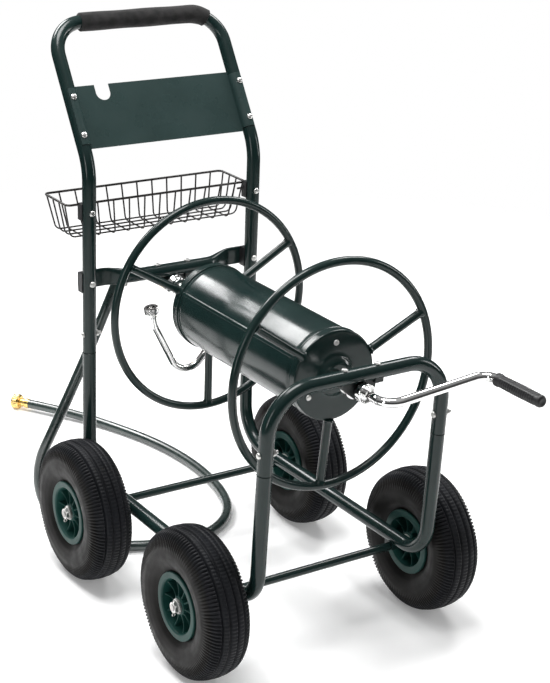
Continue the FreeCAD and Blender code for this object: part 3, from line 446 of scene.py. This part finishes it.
def upper_tubes():
    """The U that carries the reel's front, and the rear upper posts with the raked push handle."""
    foot, top = front_post(FRONT_JOINT_Z + JOINT_GAP), front_post(BAR_Z)
    hoop = bent([foot - SIDE * X, top - SIDE * X, top + SIDE * X, foot + SIDE * X], [78, 78])
    piece("front_hoop_tube", [tube(hoop, TUBE_R, Y)], GREEN, "frame", ["front_hoop"])
    foot, bend = np.array([0, POST_Y, REAR_JOINT_Z + JOINT_GAP]), np.array([0, POST_Y, BEND_Z])
    corners = [foot - SIDE * X, bend - SIDE * X, HANDLE_TOP - SIDE * X]
    corners += [HANDLE_TOP + SIDE * X, bend + SIDE * X, foot + SIDE * X]
    path = bent(corners, [100, 60, 60, 100])
    piece("handle_tube", [tube(path, TUBE_R, SLOPE_FRONT)], GREEN, "frame",
          ["handle_frame"])


def axle_tubes():
    for name, y in (("front", FRONT_AXLE_Y), ("rear", REAR_AXLE_Y)):
        path = np.array([(x, y, AXLE_Z) for x in (-201, -60, 60, 201)], float)
        piece(name + "_axle_sleeve", [tube(path, SLEEVE_R, Z)], GREEN, "frame",
              [name + "_axle_tube"])


def crossbar():
    """Round bar whose section turns into a flat blade towards both ends: at each station the outline
    is an ellipse-like curve whose height, depth and centre move by a smooth step of the distance."""
    blade_y, half_thick, half_tall = 548.5, 3.0, 17.0
    x = np.r_[-185.5, -185.5, -184.9, -160, np.linspace(-140, -70, 24), -40, 0, 40,
              np.linspace(70, 140, 24), 160, 184.9, 185.5, 185.5]
    share = np.clip((np.abs(x) - 75) / 63, 0, 1)
    share = share * share * (3 - 2 * share)
    deep = TUBE_R + (half_thick - TUBE_R) * share
    tall = TUBE_R + (half_tall - TUBE_R) * share
    scale = np.ones_like(x)
    scale[[0, -1]], scale[[1, -2]] = 0.0, 0.86
    angle = np.linspace(0, TAU, 48, endpoint=False)
    power = (1 - 0.55 * share)[:, None]
    cos, sin = np.cos(angle)[None], np.sin(angle)[None]
    middle = POST_Y + (blade_y - POST_Y) * share[:, None]
    y = middle + (scale * deep)[:, None] * np.sign(cos) * np.abs(cos) ** power
    z = BAR_Z + (scale * tall)[:, None] * np.sign(sin) * np.abs(sin) ** power
    grid = np.stack([np.broadcast_to(x[:, None], y.shape), y, z], -1)
    piece("crossbar", [patch(grid, close_across=True)], GREEN, "frame",
          ["rear_crossbar"])


def foam_sleeve():
    """Foam tube over the push bar: its radius swells and dips a little along its length, and both
    ends are rounded over."""
    bend = 60
    centre = HANDLE_TOP - SLOPE * bend + X * (SIDE - bend)
    start = HANDLE_TOP - 116 * X
    turn = np.radians(np.linspace(0, 36, 14))[:, None]
    arc = centre + bend * (np.sin(turn) * X + np.cos(turn) * SLOPE)
    straight = start + np.linspace(0, 1, 40)[:, None] * (arc[0] - start)
    path = np.concatenate([straight[:-1], arc])
    along = np.linspace(0, 1, len(path))
    radius = 17.0 + 0.35 * np.sin(along * 17) - 0.5 * np.exp(-((along - 0.95) / 0.05) ** 2)
    skin = tube(path, radius, SLOPE_FRONT, 40, 2.0)
    made = piece("foam_sleeve", [skin], FOAM, "frame", ["foam_grip"], 50)


side_rail("left", -1)
side_rail("right", 1)
upper_tubes()
axle_tubes()
crossbar()
foam_sleeve()


# ------------------------------------------------------------------ wire basket
def basket():
    """Bent wires: a top ring, U-shaped wires across and along, and a lug on the right."""
    left, right, front, back = -208.0, 168.0, 547.2, 637.5
    top, low = 671.0, 604.8
    wire, taper = 1.5, 13.0
    shells = []
    ring = [(left, front, top), (right, front, top), (right, back, top), (left, back, top)]
    seam = ((left + right) / 2, front, top)
    loop = bent([seam, ring[1], ring[2], ring[3], ring[0], seam], [9, 9, 9, 9], 8)
    shells.append(tube(loop, 2.2, Z, 12, 0.1))
    for k in range(11):
        x = left + 29.0 + 32.4 * k
        foot = left + taper + (right - left - 2 * taper) * (x - left) / (right - left)
        points = [(x, front, top), (foot, front + 5, low), (foot, back - taper, low), (x, back, top)]
        shells.append(tube(bent(points, [10, 10], 12), wire, X, 10, 0.2))
    for k in range(4):
        y = front + 9.0 + 24.0 * k
        foot = front + 5 + (back - taper - front - 5) * (y - front) / (back - front)
        points = [(left, y, top), (left + taper, foot, low + 2.6), (right - taper, foot, low + 2.6),
                  (right, y, top)]
        shells.append(tube(bent(points, [12, 12], 12), wire, Y, 10, 0.2))
    lug = np.array([(150, front - 0.2, 660.0), (160, front - 0.2, 660.0), (180, front - 0.2, 660.0)])
    shells.append(tube(lug, 2.0, Z, 10, 0.2))
    piece("wire_basket", shells, WIRE, "frame", ["basket"])


basket()


# ------------------------------------------------------------------ wheels
def tyre_shell():
    """Tyre: a section curve from bead to bead carried round the axle, moved in or out along its own
    normal.  Four grooves run round the tread, 120 slits cut its ribs and make teeth of its
    shoulders, fading down the walls, and each wall has thin raised rings."""
    knots = np.array([(50.1, 29.8), (59.9, 29.8), (64, 32.6), (70, 36.8), (80, 40.6), (92.4, 41.5),
                      (105, 40.3), (115, 36.9), (121, 33.0), (124.6, 29.0), (127.2, 23), (129, 14),
                      (129.8, 6), (130, 0)])
    knots = np.concatenate([knots, knots[-2::-1] * (1, -1)])
    length = np.r_[0, np.cumsum(np.linalg.norm(np.diff(knots, axis=0), axis=1))]
    half = length[-1] / 2
    outer = np.r_[np.arange(0, 71, 3.4), np.arange(71, half, 1.45)]
    outer = np.r_[outer, 2 * half - outer[::-1]]
    radius = np.interp(outer, length, knots[:, 0])
    width = np.interp(outer, length, knots[:, 1])
    kernel = np.array([1, 2, 1]) / 4.0
    slits, ground_r = 120, 130.0
    for values in (radius, width):
        values[3:-3] = np.convolve(values, kernel, "same")[3:-3]
    angle = np.linspace(0, TAU, 960, endpoint=False)[None]
    r, w = radius[:, None], width[:, None]
    tread = np.clip((r - 113) / 5, 0, 1)
    groove = np.clip(sum(np.exp(-((np.abs(w) - c) / 1.9) ** 4) for c in (7.5, 21.0)), 0, 1)
    shoulder = np.clip((np.abs(w) - 23) / 2, 0, 1) * np.clip((r - 97) / 9, 0, 1)
    slit = 0.5 + 0.5 * np.tanh(2.6 * (np.cos(slits * angle + 0.10 * np.abs(w)) - 0.15))
    rings = sum(np.exp(-((r - c) / 1.3) ** 2) for c in (63.0, 67.5, 72.0, 92.0))
    tooth = 1.0 + 1.8 * np.clip((r - 105) / 9, 0, 1)
    cut = (0.7 * tread * (1 - shoulder) * (1 - groove) + tooth * shoulder) * slit + 4.0 * tread * groove
    cut = cut - 0.6 * rings * (np.abs(w) > 25)
    along = unit(np.stack([np.gradient(radius), np.gradient(width)], 1))
    r_all = np.minimum(r + cut * along[:, 1:], ground_r)
    w_all = w - cut * along[:, :1]
    return r_all, np.broadcast_to(w_all, r_all.shape), angle[0], np.broadcast_to(tread, r_all.shape)


def wheel_shell(r, w, angle, centre, side):
    """Carries a radius and a sideways table round the axle of one wheel."""
    grid = np.stack([side * w, r * np.cos(angle), r * np.sin(angle)], -1) + np.asarray(centre, float)
    return patch(grid, close_along=True, close_across=True)


def rim_shells(centre, side):
    """Moulded rim: barrel with rolled flanges, dished web, ten thin ribs and a hub."""
    axis = side * X
    barrel = [(45.6, -35.3), (57.9, -35.3), (58.9, -34.2), (58.9, -30.3), (50, -30.3), (50, 30.3),
              (58.9, 30.3), (58.9, 34.2), (57.9, 35.3), (48.6, 35.3), (46.4, 33.2), (44.6, 5),
              (44.6, -5), (46.4, -33.2)]
    shells = [lathe(eased(barrel, 0.9), centre, axis, 96)]
    web = [(46.5, -2.2), (46.5, 2.2), (40, 2.2), (22, 4.5), (10, 4.5), (10, -4.5), (22, -4.5),
           (40, -2.2)]
    shells.append(lathe(eased(web, 1.0), centre, axis, 96))
    hub = [(8.2, -30), (14.6, -30), (16, -28), (17.2, 0), (16, 28), (14.6, 30), (8.2, 30)]
    shells.append(lathe(eased(hub, 0.8), centre, axis, 48))
    reach = np.linspace(12, 46.8, 13)
    angle = np.arange(10) * TAU / 10
    outline = np.linspace(0, TAU, 20, endpoint=False)
    thick = 1.3 * np.sign(np.cos(outline)) * np.abs(np.cos(outline)) ** 0.3
    tall = np.sign(np.sin(outline)) * np.abs(np.sin(outline)) ** 0.35
    for a in angle:
        radial = np.array([0, np.cos(a), np.sin(a)])
        over = np.array([0, -np.sin(a), np.cos(a)])
        height = 25.5 + 3.4 * ((reach - 29) / 17) ** 2
        flare = 1 + 0.9 * np.exp(-(reach - 12) / 5) + 0.9 * np.exp((reach - 46.8) / 3)
        grid = (np.asarray(centre, float) + reach[:, None, None] * radial
                + flare[:, None, None] * thick[None, :, None] * over
                + height[:, None, None] * tall[None, :, None] * axis)
        first = np.broadcast_to(grid[:1].mean(1, keepdims=True), grid[:1].shape)
        last = np.broadcast_to(grid[-1:].mean(1, keepdims=True), grid[-1:].shape)
        shells.append(patch(np.concatenate([first, grid, last]), close_across=True))
    return shells


def castle_nut(centre, side):
    """Hexagon nut with a turned collar: radius follows the six flats, tops rounded off."""
    def flats(angle, radius, height):
        sector = (angle + TAU / 12) % (TAU / 6) - TAU / 12
        hexagon = 9.0 / np.cos(sector)
        return np.where(radius > 8.0, np.minimum(radius, hexagon), radius), height

    profile = [(6.05, 34.0), (10.4, 34.0), (10.4, 39.4), (9.2, 40.6), (8.0, 40.8), (6.05, 40.8)]
    return lathe(profile, centre, side * X, 96, flats)


def wheel(name, side, y):
    centre = (side * WHEEL_X, y, AXLE_Z)
    body = name + "_wheel"
    r, w, angle, tread = tyre_shell()
    piece(name + "_tyre_skin", [wheel_shell(r, w, angle, centre, side)], TREAD, body,
          [name + "_tyre"], 60, tread)
    piece(name + "_rim_moulding", rim_shells(centre, side), RIM_GREEN, body,
          [name + "_rim"], 40)


WHEELS = [("front_left", -1, FRONT_AXLE_Y), ("front_right", 1, FRONT_AXLE_Y),
          ("rear_left", -1, REAR_AXLE_Y), ("rear_right", 1, REAR_AXLE_Y)]
for wheel_name, wheel_side, wheel_y in WHEELS:
    wheel(wheel_name, wheel_side, wheel_y)
piece("castle_nuts", [castle_nut((s * WHEEL_X, y, AXLE_Z), s) for _, s, y in WHEELS], ZINC, "frame",
      ["axle_nuts"])

# ------------------------------------------------------------------ reel
CAP_FRONT, CAP_REAR = 0.1, 394.0
DISC_FRONT, DISC_REAR = 2.6, 391.5
DRUM_R = 77.0


def drum():
    """Rolled barrel: a circle carried along the axle, with one lengthwise lap joint that stands out
    like a small step, and a shallow bead next to each cap."""
    y = np.r_[2.5, 2.5, 4, 17.5, 18.5, 19.5, 21, 22, 23.5, np.linspace(30, 364, 20), 370.5, 372,
              373, 374.5, 375.5, 376.5, 390, 391.5, 391.5]
    radius = np.full(len(y), DRUM_R)
    radius[[0, -1]] = 40.0
    inset = np.exp(-((y - 21.4) / 1.1) ** 2) + np.exp(-((y - 372.6) / 1.1) ** 2)
    angle = np.linspace(0, TAU, 480, endpoint=False)
    turn = (angle - math.radians(152) + np.pi) % TAU - np.pi
    lap = 0.9 * (0.5 + 0.5 * np.tanh((turn + 0.055) * 140)) * (0.5 - 0.5 * np.tanh((turn - 0.02) * 260))
    r = (radius - 0.9 * inset)[:, None] + lap[None] * (radius[:, None] > 60)
    grid = np.stack([r * np.cos(angle), np.broadcast_to(y[:, None], r.shape),
                     REEL_Z + r * np.sin(angle)], -1)
    piece("drum_skin", [patch(grid, close_along=True, close_across=True)], GREEN, "reel",
          ["drum_barrel"], 40)


def cap(name, y, outward, node_name):
    """Pressed cap: flat face with a low dome and a shallow crescent pressed in above it, a rounded
    edge and a skirt with a rolled bead."""
    profile = [(11.1, 8.0), (22, 8.0), (27, 7.0), (31.5, 4.4), (34.5, 1.5), (37.5, 0.3), (41, 0.0),
               (60, 0.0), (72, 0.0), (76.0, -0.2), (77.8, -1.2), (78.5, -3.0),
               (78.5, -15.0), (79.2, -16.2), (79.2, -17.6), (78.4, -18.2), (77.06, -18.0),
               (77.06, -1.6), (41, -1.6), (34, 0.0), (28, 4.9), (22, 6.4), (11.1, 6.4)]

    def press(angle, radius, height):
        swage = np.exp(-((np.mod(angle + 0.6, TAU) - np.pi * 0.5) / 0.42) ** 4)
        swage = swage * np.exp(-((radius - 52) / 5.0) ** 4)
        return radius, height - 1.2 * swage

    shell = lathe(eased(profile, 0.7), (0, y, REEL_Z), outward * Y, 160, press)
    piece(name, [shell], GREEN, "reel", [node_name], 40)


def disc(name, y, clock, node_name):
    """Reel disc: a round ring and three round spokes, each with a small weld fillet at both ends."""
    centre = np.array([0, y, REEL_Z])
    shells = [torus(centre, Y, 194.7, RING_R)]
    for k in range(3):
        a = math.radians(-90 + clock + 120 * k)
        radial = np.array([math.cos(a), 0, math.sin(a)])
        reach = np.array([77.4, 79.0, 80.5, 82.5, 86, 140, 182, 184.6, 186.4, 187.8, 191])
        fillet = RING_R + 2.2 * np.exp(-(reach - 77.4) / 2.2) + 1.8 * np.exp((reach - 188) / 1.8)
        fillet = np.minimum(fillet, 9.4)
        shells.append(tube(centre + reach[:, None] * radial, fillet, Y, 24, 0.1))
    piece(name, shells, GREEN, "reel", [node_name])


drum()
cap("front_cap_skin", CAP_FRONT, -1, "front_end_cap")
cap("rear_cap_skin", CAP_REAR, 1, "rear_end_cap")
disc("front_disc_tubes", DISC_FRONT, -5.0, "front_disc")
disc("rear_disc_tubes", DISC_REAR, 0.0, "rear_disc")


def shaft_fittings():
    """Turned and plated pieces on the reel's axis."""
    rod = [(6.2, -86), (10.4, -86), (11, -85.2), (11, 561.2), (10.4, 562), (8, 562), (8, 100),
           (6.2, 100)]
    piece("reel_shaft_turned", [lathe(rod, (0, 0, REEL_Z), Y, 48)], CHROME, "reel",
          ["reel_shaft"])
    collar = [(11.05, 5), (13.0, 5), (13.4, 5.6), (13.4, 10.6), (18.6, 10.6), (19.5, 11.2),
              (19.5, 12.4), (18.2, 14.2), (15.6, 17.6), (13.9, 20.6), (13.4, 23), (13.9, 25.4),
              (15.4, 28.4), (17.2, 30.4), (17.5, 31.2), (17.5, 32.2), (16.6, 33), (12.8, 34.4),
              (11.05, 34.4)]
    shells = [lathe(eased(collar, 0.5), (0, y, REEL_Z), outward * Y, 64)
              for y, outward in ((HOOP_Y, 1.0), (POST_Y, -1.0))]
    piece("collars_turned", shells, CHROME, "reel", ["shaft_collars"])
    ring = [(11.05, 11), (12.6, 11), (13.4, 10.2), (13.4, 7.7), (16.2, 7.7), (17.0, 6.8),
            (17.0, -3.4), (16.2, -4.8), (15.2, -5), (14.4, -4.8), (13.8, -3.8), (13.8, 3), (11.05, 3)]
    piece("shaft_ring_turned", [lathe(eased(ring, 0.5), (0, -86, REEL_Z), Y, 64)], CHROME, "reel",
          ["shaft_ring"])


def crank():
    """Chromed crank: neck, round arm and hand spindle on one bent centre line, turned 5 degrees up,
    and the hand grip, a turned skin whose radius swells, ripples along and ripples round."""
    level = bent([(0, -96, 0), (0, -145, 0), (199, -145, 0), (199, -168, 0)], [30, 26], 3)
    neck = np.array([(0, -44, 0), (0, -60, 0), (0, -88, 0), (0, -92, 0)], float)
    spindle = np.array([(199, -171.7, 0), (199, -173, 0), (199, -200, 0), (199, -276, 0)], float)
    lift = math.radians(5.0)
    turn = np.array([[math.cos(lift), 0, math.sin(lift)], [0, 1, 0],
                     [-math.sin(lift), 0, math.cos(lift)]])

    def turned_up(path):
        return path @ turn + (0, 0, REEL_Z)

    distance = np.r_[0, np.cumsum(np.linalg.norm(np.diff(level, axis=0), axis=1))]
    radius = 6.2 + 1.8 * np.clip(distance / 10, 0, 1)
    radius = np.where(distance > distance[-1] - 2, 7.2, radius)
    shells = [tube(turned_up(level), radius, Z, 36, 0.6), tube(turned_up(neck), 6.0, Z, 24),
              tube(turned_up(spindle), 5.0, Z, 20)]
    piece("crank_bar", shells, CHROME, "reel", ["crank_arm"])

    def knurl(angle, radius, height):
        body = np.clip((height - 13) / 3, 0, 1) * np.clip((98 - height) / 3, 0, 1)
        rings = 0.32 * np.cos(height * TAU / 5.2) * body
        flats = 0.28 * np.cos(angle * 8) * body
        return np.where(radius > 7, radius + rings + flats, radius), height

    height = np.linspace(12, 99, 88)
    belly = 10.2 + 0.5 * np.sin((height - 12) / 87 * np.pi)
    skin = np.c_[belly, height]
    collar = [(5.05, 0), (10.0, 0), (11.2, 0.9), (11.4, 3.0), (11.4, 7.0), (10.6, 9.6)]
    tip = [(10.6, 102), (10.4, 105), (9.2, 107.8), (7.2, 109), (6.2, 109), (4.0, 108.6),
           (1.5, 108.2), (0.0, 108.2), (0.0, 106), (5.05, 106)]
    profile = np.concatenate([collar, skin, tip])
    base = turned_up(np.array([(199.0, -172.0, 0.0)]))[0]
    piece("crank_grip_moulding", [lathe(profile, base, -Y, 64, knurl)], BLACK, "crank_handle",
          ["crank_grip"], 45)


def swan_neck():
    """Chromed outlet pipe on one bent centre line, with a coned head whose thread is a wave that
    climbs one pitch each turn, and a ring at its root on the reel's shaft."""
    y = 430.0
    pitch, thread_r = 1.8, 13.22
    points = np.array([(0, y, 492), (24, y, 400), (-32, y, 343), (-93, y, 461), (-98.5, y, 488)], float)
    path = bent(points, [38, 36, 40], 3)
    along = unit(points[-1] - points[-2])
    shells = [tube(path, 6.75, Y, 32)]

    def thread(angle, radius, height):
        wave = 0.35 * np.cos((height + angle / TAU * pitch) * TAU / pitch)
        on = (radius > 12.5) * np.clip((height - 1.2) / 0.6, 0, 1) * np.clip((11 - height) / 0.6, 0, 1)
        return radius + (wave - 0.35) * on, height

    height = np.linspace(0.4, 11.2, 42)
    head = np.concatenate([[(6.6, -10), (7.2, -10.2), (9.0, -6.5), (12.0, -1.2), (thread_r, 0)],
                           np.c_[np.full_like(height, thread_r), height],
                           [(12.4, 12), (7.6, 12), (7.2, 11.4), (7.2, 2), (5.25, 2), (5.25, -8)]])
    shells.append(lathe(head, points[-1], along, 96, thread))
    root = [(11.05, -7), (12.8, -7.2), (13.6, -6), (13.6, 6), (12.8, 7.2), (11.05, 7)]
    shells.append(lathe(eased(root, 0.5), (0, y, REEL_Z), Y, 48))
    piece("swan_neck", shells, CHROME, "reel", ["gooseneck"])


shaft_fittings()
crank()
swan_neck()


# ------------------------------------------------------------------ hose coupling
def coupling():
    """Brass tail with raised rings, and a nut whose skirt carries 24 grip flutes."""
    end, nut_seat, flute_count = np.array([5.0, 1171.0, 16.8]), 21, 24
    along = unit(np.array([5.0, 1171.0, 0]) - np.array([52.0, 1101.0, 0]))
    tail = [(5.5, -2), (9.9, -2), (10.8, 0), (10.8, 7.4), (10.0, 8.2), (8.7, 9), (8.7, 12), (9.3, 13),
            (9.3, 15), (8.7, 16), (8.5, 24), (11.3, 24), (11.4, 26.4), (5.5, 26.5)]
    skin = lathe(eased(tail, 0.3), end, along, 64)
    made = piece("coupling_tail_turned", [skin], BRASS, "frame", ["coupling_tail"])

    def flutes(angle, radius, height):
        grip = np.clip((height - 3) / 1.5, 0, 1) * np.clip((14.5 - height) / 1.5, 0, 1)
        cut = 0.55 + 0.45 * np.cos(flute_count * angle)
        return np.where(radius > 14, radius - 0.9 * (1 - cut) * grip, radius), height

    height = np.linspace(3.0, 14.5, 14)
    nut = np.concatenate([[(8.6, 0), (12.6, 0), (13.4, 0.4), (16.0, 2.2)],
                          np.c_[np.full_like(height, 16.5), height],
                          [(16.3, 16.4), (15.7, 17), (12.8, 17), (12.1, 16.2), (12.1, 2.7), (8.6, 2.7)]])
    skin = lathe(nut, end + along * nut_seat, along, 192, flutes)
    ring = piece("coupling_nut_turned", [skin], BRASS, "hose_nut", ["coupling_nut"], 40)
    return [made, ring]


brass_pieces = coupling()

# ------------------------------------------------------------------ pieces kept from the CAD model
KEPT = {
    "axle_saddles": GREEN, "wheel_axles": STEEL, "crossbar_saddles": BLACK, "tool_panel": SHEET_GREEN,
    "basket_clips": BLACK, "front_bearing_bracket": CASTING, "rear_bearing_bracket": CASTING,
    "shaft_bushes": BLACK, "short_bolts": ZINC, "long_bolts": ZINC, "frame_nuts": ZINC,
    "swivel_body": BRASS, "swivel_seal": RUBBER, "hose_clamp": STEEL, "axle_washers": ZINC,
    "split_pins": ZINC, "crank_pin": ZINC, "drum_tie_rods": ZINC, "tie_rod_nuts": ZINC,
}
for corner_name, _, _ in WHEELS:
    KEPT[corner_name + "_inner_tube"] = RUBBER
    KEPT[corner_name + "_hub_bushes"] = ZINC


def keep(name, finish):
    """A CAD node as it is, with its own finish."""
    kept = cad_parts[name]
    kept.data.materials.clear()
    kept.data.materials.append(finish)


for kept_name, kept_finish in KEPT.items():
    keep(kept_name, kept_finish)


# ------------------------------------------------------------------ studio
def studio_floor():
    """Pale floor that fades out between its near and far radius, in metres."""
    near, far = 1.5, 2.8
    mesh = bpy.data.meshes.new("studio floor")
    mesh.from_pydata([(-7, -7, 0), (7, -7, 0), (7, 9, 0), (-7, 9, 0)], [], [(0, 1, 2, 3)])
    floor = bpy.data.objects.new("studio_floor", mesh)
    paint = material("studio floor", (0.93, 0.93, 0.93), 0.85, specular=0.1)
    shader_of(paint).inputs["Emission Color"].default_value = (1.0, 1.0, 1.0, 1.0)
    shader_of(paint).inputs["Emission Strength"].default_value = 0.18
    away = node(paint, "ShaderNodeVectorMath", operation="LENGTH")
    link(paint, coordinates(paint), away.inputs[0])
    fade = node(paint, "ShaderNodeMapRange", interpolation_type="SMOOTHSTEP")
    fade.inputs["From Min"].default_value, fade.inputs["From Max"].default_value = near, far
    fade.inputs["To Min"].default_value, fade.inputs["To Max"].default_value = 1.0, 0.0
    link(paint, away.outputs["Value"], fade.inputs["Value"])
    link(paint, fade.outputs["Result"], shader_of(paint).inputs["Alpha"])
    mesh.materials.append(paint)
    bpy.context.scene.collection.objects.link(floor)


def lamp(name, where, aim, width, power, height):
    """Rectangular area lamp at where, in metres, facing aim."""
    data = bpy.data.lights.new(name, "AREA")
    data.shape = "RECTANGLE"
    data.size, data.size_y = width, height
    data.energy = power
    made = bpy.data.objects.new(name, data)
    back = unit(np.array(where, float) - np.array(aim, float))
    right = unit(np.cross(Z if abs(back[2]) < 0.98 else Y, back))
    axes = Matrix([right, np.cross(back, right), back]).transposed().to_4x4()
    axes.translation = where
    made.matrix_world = axes
    bpy.context.scene.collection.objects.link(made)


def studio_world():
    """Sky that lights from dark at the horizon to pale overhead, and looks plain white."""
    world = bpy.data.worlds.new("studio world")
    world.use_nodes = True
    tree = world.node_tree
    where = tree.nodes.new("ShaderNodeTexCoord")
    height = tree.nodes.new("ShaderNodeSeparateXYZ")
    sky = tree.nodes.new("ShaderNodeValToRGB")
    tree.links.new(where.outputs["Generated"], height.inputs["Vector"])
    tree.links.new(height.outputs["Z"], sky.inputs["Fac"])
    stops = sky.color_ramp.elements
    stops[0].position, stops[0].color = 0.0, (0.03, 0.03, 0.03, 1)
    stops[1].position, stops[1].color = 1.0, (0.45, 0.45, 0.45, 1)
    for position, level in ((0.2, 0.05), (0.45, 0.14), (0.7, 0.3)):
        stops.new(position).color = (level, level, level, 1)
    light = tree.nodes["Background"]
    tree.links.new(sky.outputs["Color"], light.inputs["Color"])
    seen = tree.nodes.new("ShaderNodeBackground")
    seen.inputs["Color"].default_value = (1.0, 1.0, 1.0, 1.0)
    ray = tree.nodes.new("ShaderNodeLightPath")
    either = tree.nodes.new("ShaderNodeMixShader")
    tree.links.new(ray.outputs["Is Camera Ray"], either.inputs["Fac"])
    tree.links.new(light.outputs["Background"], either.inputs[1])
    tree.links.new(seen.outputs["Background"], either.inputs[2])
    tree.links.new(either.outputs["Shader"], tree.nodes["World Output"].inputs["Surface"])
    bpy.context.scene.world = world


studio_floor()
lamp("top light", (-0.4, 0.1, 3.2), (0, 0.1, 0.4), 1.4, 74, 1.4)
lamp("back light", (-0.6, 2.4, 2.6), (0, 0.1, 0.5), 1.7, 78, 0.9)
lamp("right light", (1.9, 0.7, 2.7), (0, 0, 0.4), 0.7, 36, 1.3)
lamp("left strip", (-2.7, -1.0, 1.2), (0, 0.3, 0.9), 0.3, 13, 1.5)
lamp("right strip", (2.7, -1.0, 1.2), (0, 0.3, 0.9), 0.3, 17, 1.5)
studio_world()
bpy.context.scene.view_settings.view_transform = "Standard"
